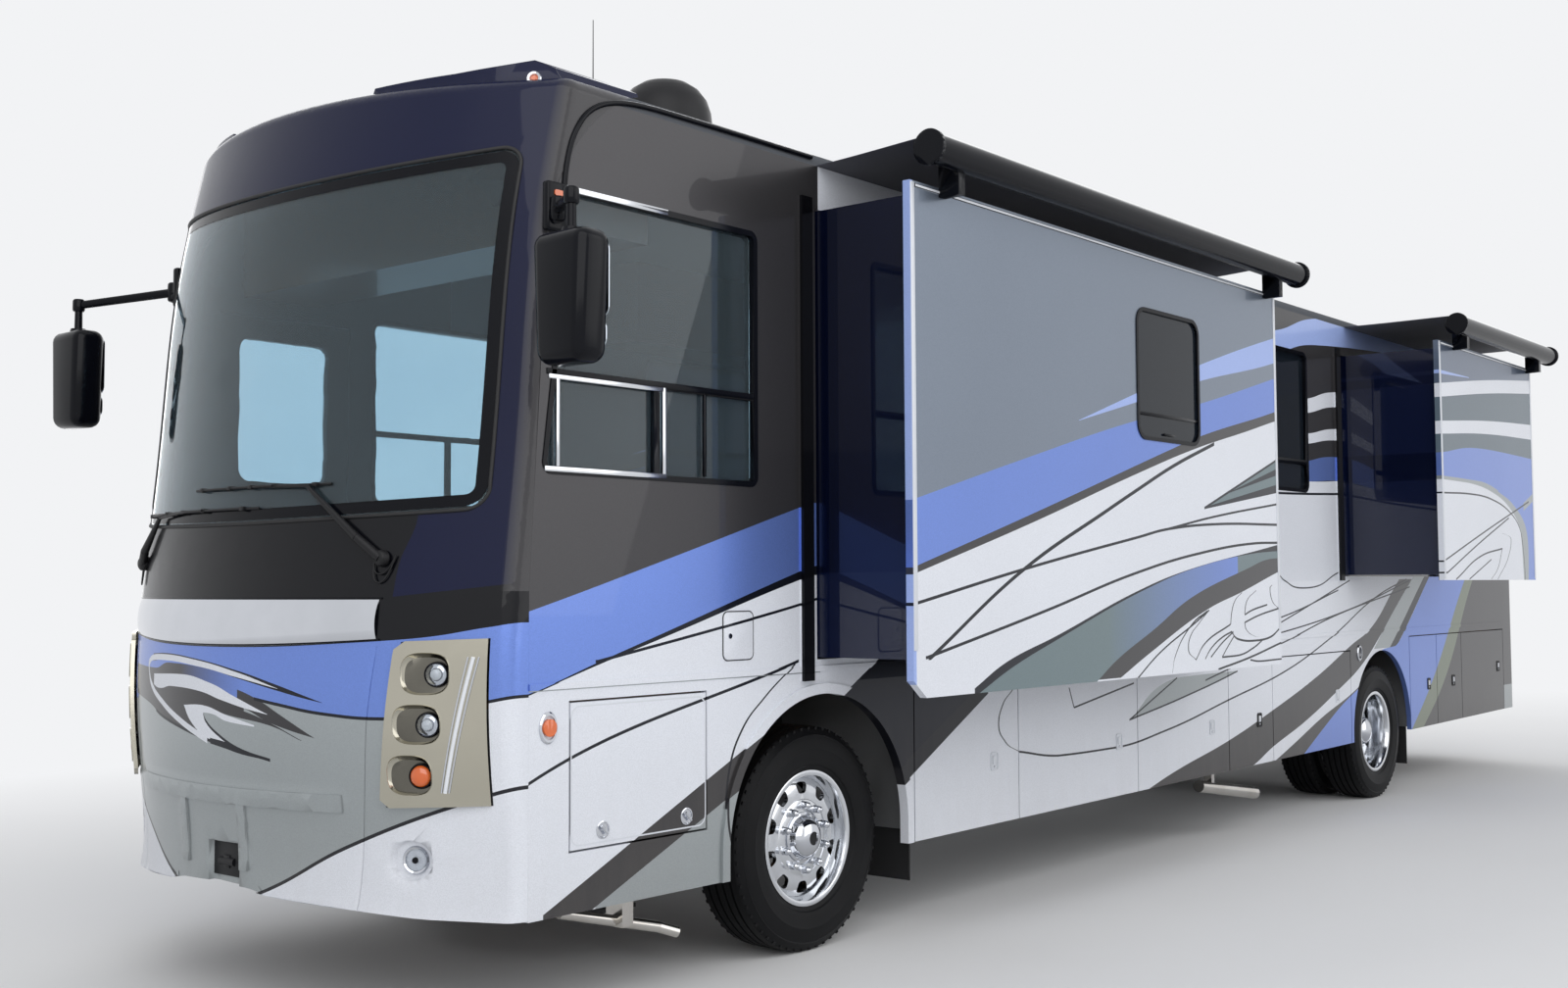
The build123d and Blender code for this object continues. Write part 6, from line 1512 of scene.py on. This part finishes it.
@piece("mirror_heads", [BLACK_GLOSS, MIRROR_GLASS, AMBER], "black_trim", ["mirrors"], crease=40)
def mirrors(bm):
    """Tapered heads on cranked arms from brackets at the windshield's posts."""
    for side in (1, -1):
        centre = Vector((1.93, side * 1.7, 2.6))
        half = Vector((0.075, 0.135, 0.23))
        before = set(bm.verts)
        cuboid(bm, centre - half, centre + half, 0.05, 5)
        for vert in set(bm.verts) - before:
            share = (vert.co.z - 2.37) / 0.46
            taper = 0.8 + 0.2 * min(1, share * 1.6) ** 0.7 if share > 0 else 0.8
            vert.co.y = centre.y + (vert.co.y - centre.y) * taper
            vert.co.x = centre.x + (vert.co.x - centre.x) * (0.9 + 0.1 * taper)
        glass = centre - Vector((0.0725, 0, -0.012))
        rounded_plate(bm, glass + Vector((0, 0, 0.055)), 0.222, 0.265, 0.035, 0.004, "X", 1)
        rounded_plate(bm, glass - Vector((0, 0, 0.135)), 0.196, 0.095, 0.03, 0.004, "X", 1)
        # the arm: bracket, shoulder, elbow and the neck into the head
        post = Vector((1.6375, side * (SIDE + 0.002), 3.02))
        cuboid(bm, post - Vector((0.05, 0.008, 0.088)), post + Vector((0.05, 0.03, 0.098)), 0.012, 3)
        elbow = Vector((1.93, side * 1.7, 2.955))
        shoulder = Vector((1.655, side * (SIDE + 0.05), 3.01))
        bar(bm, post + Vector((0.012, side * 0.01, -0.03)), shoulder + Vector((0, 0, -0.03)), 0.028, 0.026, 24)
        turned(bm, [(0, -0.045), (0.022, -0.045), (0.028, -0.038), (0.03, 0.0), (0.028, 0.038), (0.022, 0.045),
                    (0, 0.045)], shoulder, (0, 0, 1), 28)
        bar(bm, shoulder, elbow, ARM, ARM * 0.9, 20)
        turned(bm, [(0, -0.03), (0.024, -0.03), (0.028, -0.022), (0.028, 0.02), (0.022, 0.028), (0, 0.03)],
               elbow, (0, 0, 1), 28)
        bar(bm, elbow, centre + Vector((0, 0, 0.2)), 0.017, 0.019, 20)
        collar = [(0.019, 0.0), (0.034, -0.004), (0.04, -0.02)]
        turned(bm, collar, centre + Vector((0, 0, 0.246)), (0, 0, 1), 24)
        rounded_plate(bm, post + Vector((-0.005, side * 0.031, 0.055)), 0.05, 0.022, 0.008, 0.006, "Y", 2)


# Fabric over the slide-out rooms, seats, entry door

CLOTH_START, CLOTH_ANCHOR = 1.2832, 1.2828     # Y of the cloth at the wall, and of what it is squashed to
for joint, back, front, roller, high, far, keep in (
    # joint, back and front, roller's middle across, height at the wall and at the roller, share left when in
    ("slide_1", -3.67, 0.06, 1.93, 3.4885, 3.5205, 0.25),
    ("slide_2", -8.26, -6.13, 2.104, 3.4885, 3.4885, 0.196),
):
    @piece(joint + "_topper_cloth", CLOTH, "topper_fabric", [joint + "_topper"], crease=60)
    def cloth(bm):
        """A sheet that sags a little between the wall and the roller."""
        bmesh.ops.create_grid(bm, x_segments=72, y_segments=18, size=0.5)
        for vert in bm.verts:
            along, across = vert.co.x + 0.5, vert.co.y + 0.5
            sag = 0.006 * sin(pi * across) * (1 - across) * (1 + 0.35 * sin(along * 23) * sin(along * 7 + 1))
            hem = 0.0015 * sin(along * 90) * (1 - across) * across
            vert.co = (back + (front - back) * along, CLOTH_START + (roller - CLOTH_START) * across,
                       high + (far - high) * across - sag + hem)
        bmesh.ops.solidify(bm, geom=bm.faces[:], thickness=0.0012)

    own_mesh(cloth)


def pillow(bm, centre, half, lean=0.0):
    """A stuffed block: a cube divided, rounded and leaned back."""
    power = 5.0
    before = set(bm.verts)
    edges = edges_of(bmesh.ops.create_cube(bm, size=2)["verts"])
    bmesh.ops.subdivide_edges(bm, edges=edges, cuts=9, use_grid_fill=True)
    for vert in set(bm.verts) - before:
        x, y, z = vert.co
        size = (abs(x) ** power + abs(y) ** power + abs(z) ** power) ** (1 / power)
        full = max(abs(x), abs(y), abs(z))
        spot = Vector((x / size * full * half[0], y / size * full * half[1], z / size * full * half[2]))
        spot.x += lean * spot.z
        vert.co = spot + Vector(centre)


SEAT_MIDDLES, LEAN = (0.64, -0.29), -0.135


@piece("seat_cushions", LEATHER, "seat_leather", ["cab_seats"], crease=60)
def cushions(bm):
    """Two cab seats: cushion, back with side bolsters, and head rest."""
    for middle in SEAT_MIDDLES:
        pillow(bm, (0.675, middle, 1.633), (0.275, 0.2, 0.07))
        pillow(bm, (0.415, middle, 1.975), (0.055, 0.19, 0.285), LEAN)
        pillow(bm, (0.372, middle, 2.3), (0.04, 0.13, 0.078), LEAN)
        for edge in (1, -1):
            pillow(bm, (0.675, middle + edge * 0.215, 1.645), (0.265, 0.042, 0.058))
            pillow(bm, (0.435, middle + edge * 0.205, 1.955), (0.052, 0.05, 0.25), LEAN)


@piece("seat_pedestals", BLACK_SATIN, "seat_leather", ["cab_seats"])
def pedestals(bm):
    for middle in SEAT_MIDDLES:
        cuboid(bm, (0.525, middle - 0.16, 1.226), (0.825, middle + 0.16, 1.555), 0.02, 3)
        cuboid(bm, (0.5, middle - 0.2, 1.54), (0.86, middle + 0.2, 1.575), 0.01)


@piece("entry_door_handle", [BLACK_SATIN, CHROME], "chrome", body="entry_door")
def entry_door_handle(bm):
    """The paddle handle on the entry door."""
    face = -SIDE - 0.001
    rounded_plate(bm, (0.8, face, 1.3), 0.11, 0.15, 0.015, 0.01, "Y", 0, 0.002)
    rounded_plate(bm, (0.8, face - 0.008, 1.312), 0.08, 0.08, 0.012, 0.01, "Y", 1, 0.003)
    turned(bm, [(0.011, 0), (0.011, 0.004), (0, 0.005)], (0.8, face - 0.005, 1.248), (0, -1, 0), 20, 1)


@piece("entry_grab_rail", CHROME, "chrome", crease=60)
def entry_grab_rail(bm):
    """The grab rail behind the entry door: how far it stands out at each height."""
    rail = ((0, 1.35), (0.045, 1.36), (0.052, 1.45), (0.052, 1.7), (0.052, 2.05), (0.045, 2.14), (0, 2.15))
    along_path(bm, [(0.6, -SIDE - out, height) for out, height in rail], 0.013, 16)
    for height in (1.35, 2.15):
        turned(bm, [(0.03, -0.001), (0.028, 0.006), (0.014, 0.009)], (0.6, -SIDE, height), (0, -1, 0), 28)


COOLERS = (-2.3, -4.9, REAR_AXLE - 1.66)
COOLER_HALF, COOLER_WIDE, COOLER_HIGH, COOLER_TAPER = 0.48, 0.36, 0.26, 0.1
ROOF_Z, AERIAL_TOP = 3.5553, 4.4


@piece("roof_units", [ROOF_SKIN, BLACK_SATIN], "roof_white", ["roof_gear"], crease=40)
def roof_gear(bm):
    """Three coolers with ribbed shrouds and vents, the dish's dome and the whip aerial."""
    top = ROOF_Z + COOLER_HIGH
    for x in COOLERS:
        before = set(bm.verts)
        cuboid(bm, (x - COOLER_HALF, -COOLER_WIDE, ROOF_Z), (x + COOLER_HALF, COOLER_WIDE, top), 0.085, 6)
        for vert in set(bm.verts) - before:
            share = (vert.co.z - ROOF_Z) / COOLER_HIGH
            vert.co.x = x + (vert.co.x - x) * (1 - COOLER_TAPER * share)
            vert.co.y *= 1 - COOLER_TAPER * share
        for side in (1, -1):
            for step in range(7):
                z = ROOF_Z + 0.075 + 0.02 * step
                y = side * (COOLER_WIDE * (1 - COOLER_TAPER * (z - ROOF_Z) / COOLER_HIGH) - 0.004)
                cuboid(bm, (x - 0.26, y - 0.008, z), (x + 0.26, y + 0.008, z + 0.009), 0.003, 2, 1)
        for y in (-0.16, 0.0, 0.16):
            bar(bm, (x - 0.28, y, top - 0.006), (x + 0.28, y, top - 0.006), 0.014)
    dome = [(0.22, 0), (0.22, 0.18), (0.214, 0.235), (0.196, 0.29), (0.16, 0.338), (0.112, 0.37),
            (0.058, 0.386), (0, 0.39)]
    turned(bm, dome, (0.325, 0.6, ROOF_Z), (0, 0, 1), 56, 1)
    foot = (0.21, 0, ROOF_Z)
    bar(bm, foot, (0.21, 0, AERIAL_TOP), 0.0045, 0.002, 10, 1)
    turned(bm, [(0.03, 0), (0.028, 0.012), (0.012, 0.022), (0.008, 0.06), (0, 0.062)], foot, (0, 0, 1), 28, 1)


@piece("rear_lamp_rims", CHROME, "chrome")
def rear_lamp_rims(bm):
    rim = [(0.066, -0.002), (0.066, 0.005), (0.06, 0.01), (0.055, 0.008), (0.054, 0.0)]
    for side in (1, -1):
        for height in (1.35, 1.5, 1.65):
            turned(bm, rim, (REAR_X, side * 1.0, height), (-1, 0, 0), 40)


@piece("engine_door_latches", [BLACK_SATIN, CHROME], "chrome", body="engine_door")
def engine_door_latches(bm):
    for y in (-0.45, 0.45):
        rounded_plate(bm, (REAR_X - 0.002, y, 0.755), 0.09, 0.055, 0.012, 0.008, "X", 0, 0.002)
        rounded_plate(bm, (REAR_X - 0.008, y, 0.76), 0.06, 0.026, 0.008, 0.008, "X", 1, 0.002)


# Stage

def seen_rays(tree):
    """1 for what the camera sees, straight, in a mirror or through glass."""
    rays = put(tree, "LightPath").outputs
    by_way = calc(tree, "MAXIMUM", rays["Is Glossy Ray"], rays["Is Transmission Ray"])
    return calc(tree, "MAXIMUM", rays["Is Camera Ray"], by_way)


def pale_floor():
    """A pale floor that goes over into the background some metres from the coach."""
    mesh = bpy.data.meshes.new("studio_floor")
    bm = bmesh.new()
    bmesh.ops.create_grid(bm, x_segments=1, y_segments=1, size=60)
    bm.to_mesh(mesh)
    bm.free()
    finish = Finish("studio_floor", Roughness=0.9, Specular_IOR_Level=0.1)
    finish.tint((232, 232, 232), (238, 238, 238), 0.4)
    tree = finish.tree
    parts = put(tree, "SeparateXYZ", {0: finish.place}).outputs
    length = calc(tree, "DIVIDE", parts["X"], 1.9)
    squares = [calc(tree, "MULTIPLY", way, way) for way in (length, parts["Y"])]
    away = calc(tree, "SQRT", calc(tree, "ADD", *squares))
    far = calc(tree, "MULTIPLY_ADD", away, 1 / 5.5, -3.2 / 5.5, clamp=True)
    shown = calc(tree, "MULTIPLY", far, seen_rays(tree))
    glow = put(tree, "Emission", {"Color": BACKDROP, "Strength": 1.0})
    blend = put(tree, "MixShader", {0: shown, 1: finish.shader.outputs[0], 2: glow.outputs[0]})
    tree.links.new(blend.outputs[0], tree.nodes["Material Output"].inputs["Surface"])
    mesh.materials.append(finish.material)
    ground = bpy.data.objects.new("studio_floor", mesh)
    SCENE.collection.objects.link(ground)


def pale_world():
    """A soft sky for light, and the pale background where it is seen."""
    world = bpy.data.worlds.new("studio_world")
    SCENE.world = world
    world.use_nodes = True
    tree = world.node_tree
    sky = tree.nodes["Background"]
    sky.inputs["Color"].default_value = colour(236, 238, 242)
    sky.inputs["Strength"].default_value = 0.5
    seen = put(tree, "Background", {"Color": BACKDROP, "Strength": 1.0})
    blend = put(tree, "MixShader", {0: seen_rays(tree), 1: sky.outputs[0], 2: seen.outputs[0]})
    tree.links.new(blend.outputs[0], tree.nodes["World Output"].inputs["Surface"])


def soft_lights():
    for name, place, aim, size, power in (
        ("key_light", (12, 8, 9), (1, 0, 1.5), 13, 920),
        ("left_light", (-3, 15, 8), (-2, 0, 1.5), 15, 820),
        ("right_light", (-7, -14, 8), (-1, 0, 1.5), 15, 820),
        ("rear_light", (-16, -7, 8), (-4, 0, 1.5), 14, 620),
    ):
        lamp = bpy.data.lights.new(name, "AREA")
        lamp.size, lamp.energy = size, power
        holder = bpy.data.objects.new(name, lamp)
        holder.location = place
        holder.rotation_euler = (Vector(aim) - Vector(place)).to_track_quat("-Z", "Y").to_euler()
        SCENE.collection.objects.link(holder)


pale_floor()
pale_world()
soft_lights()
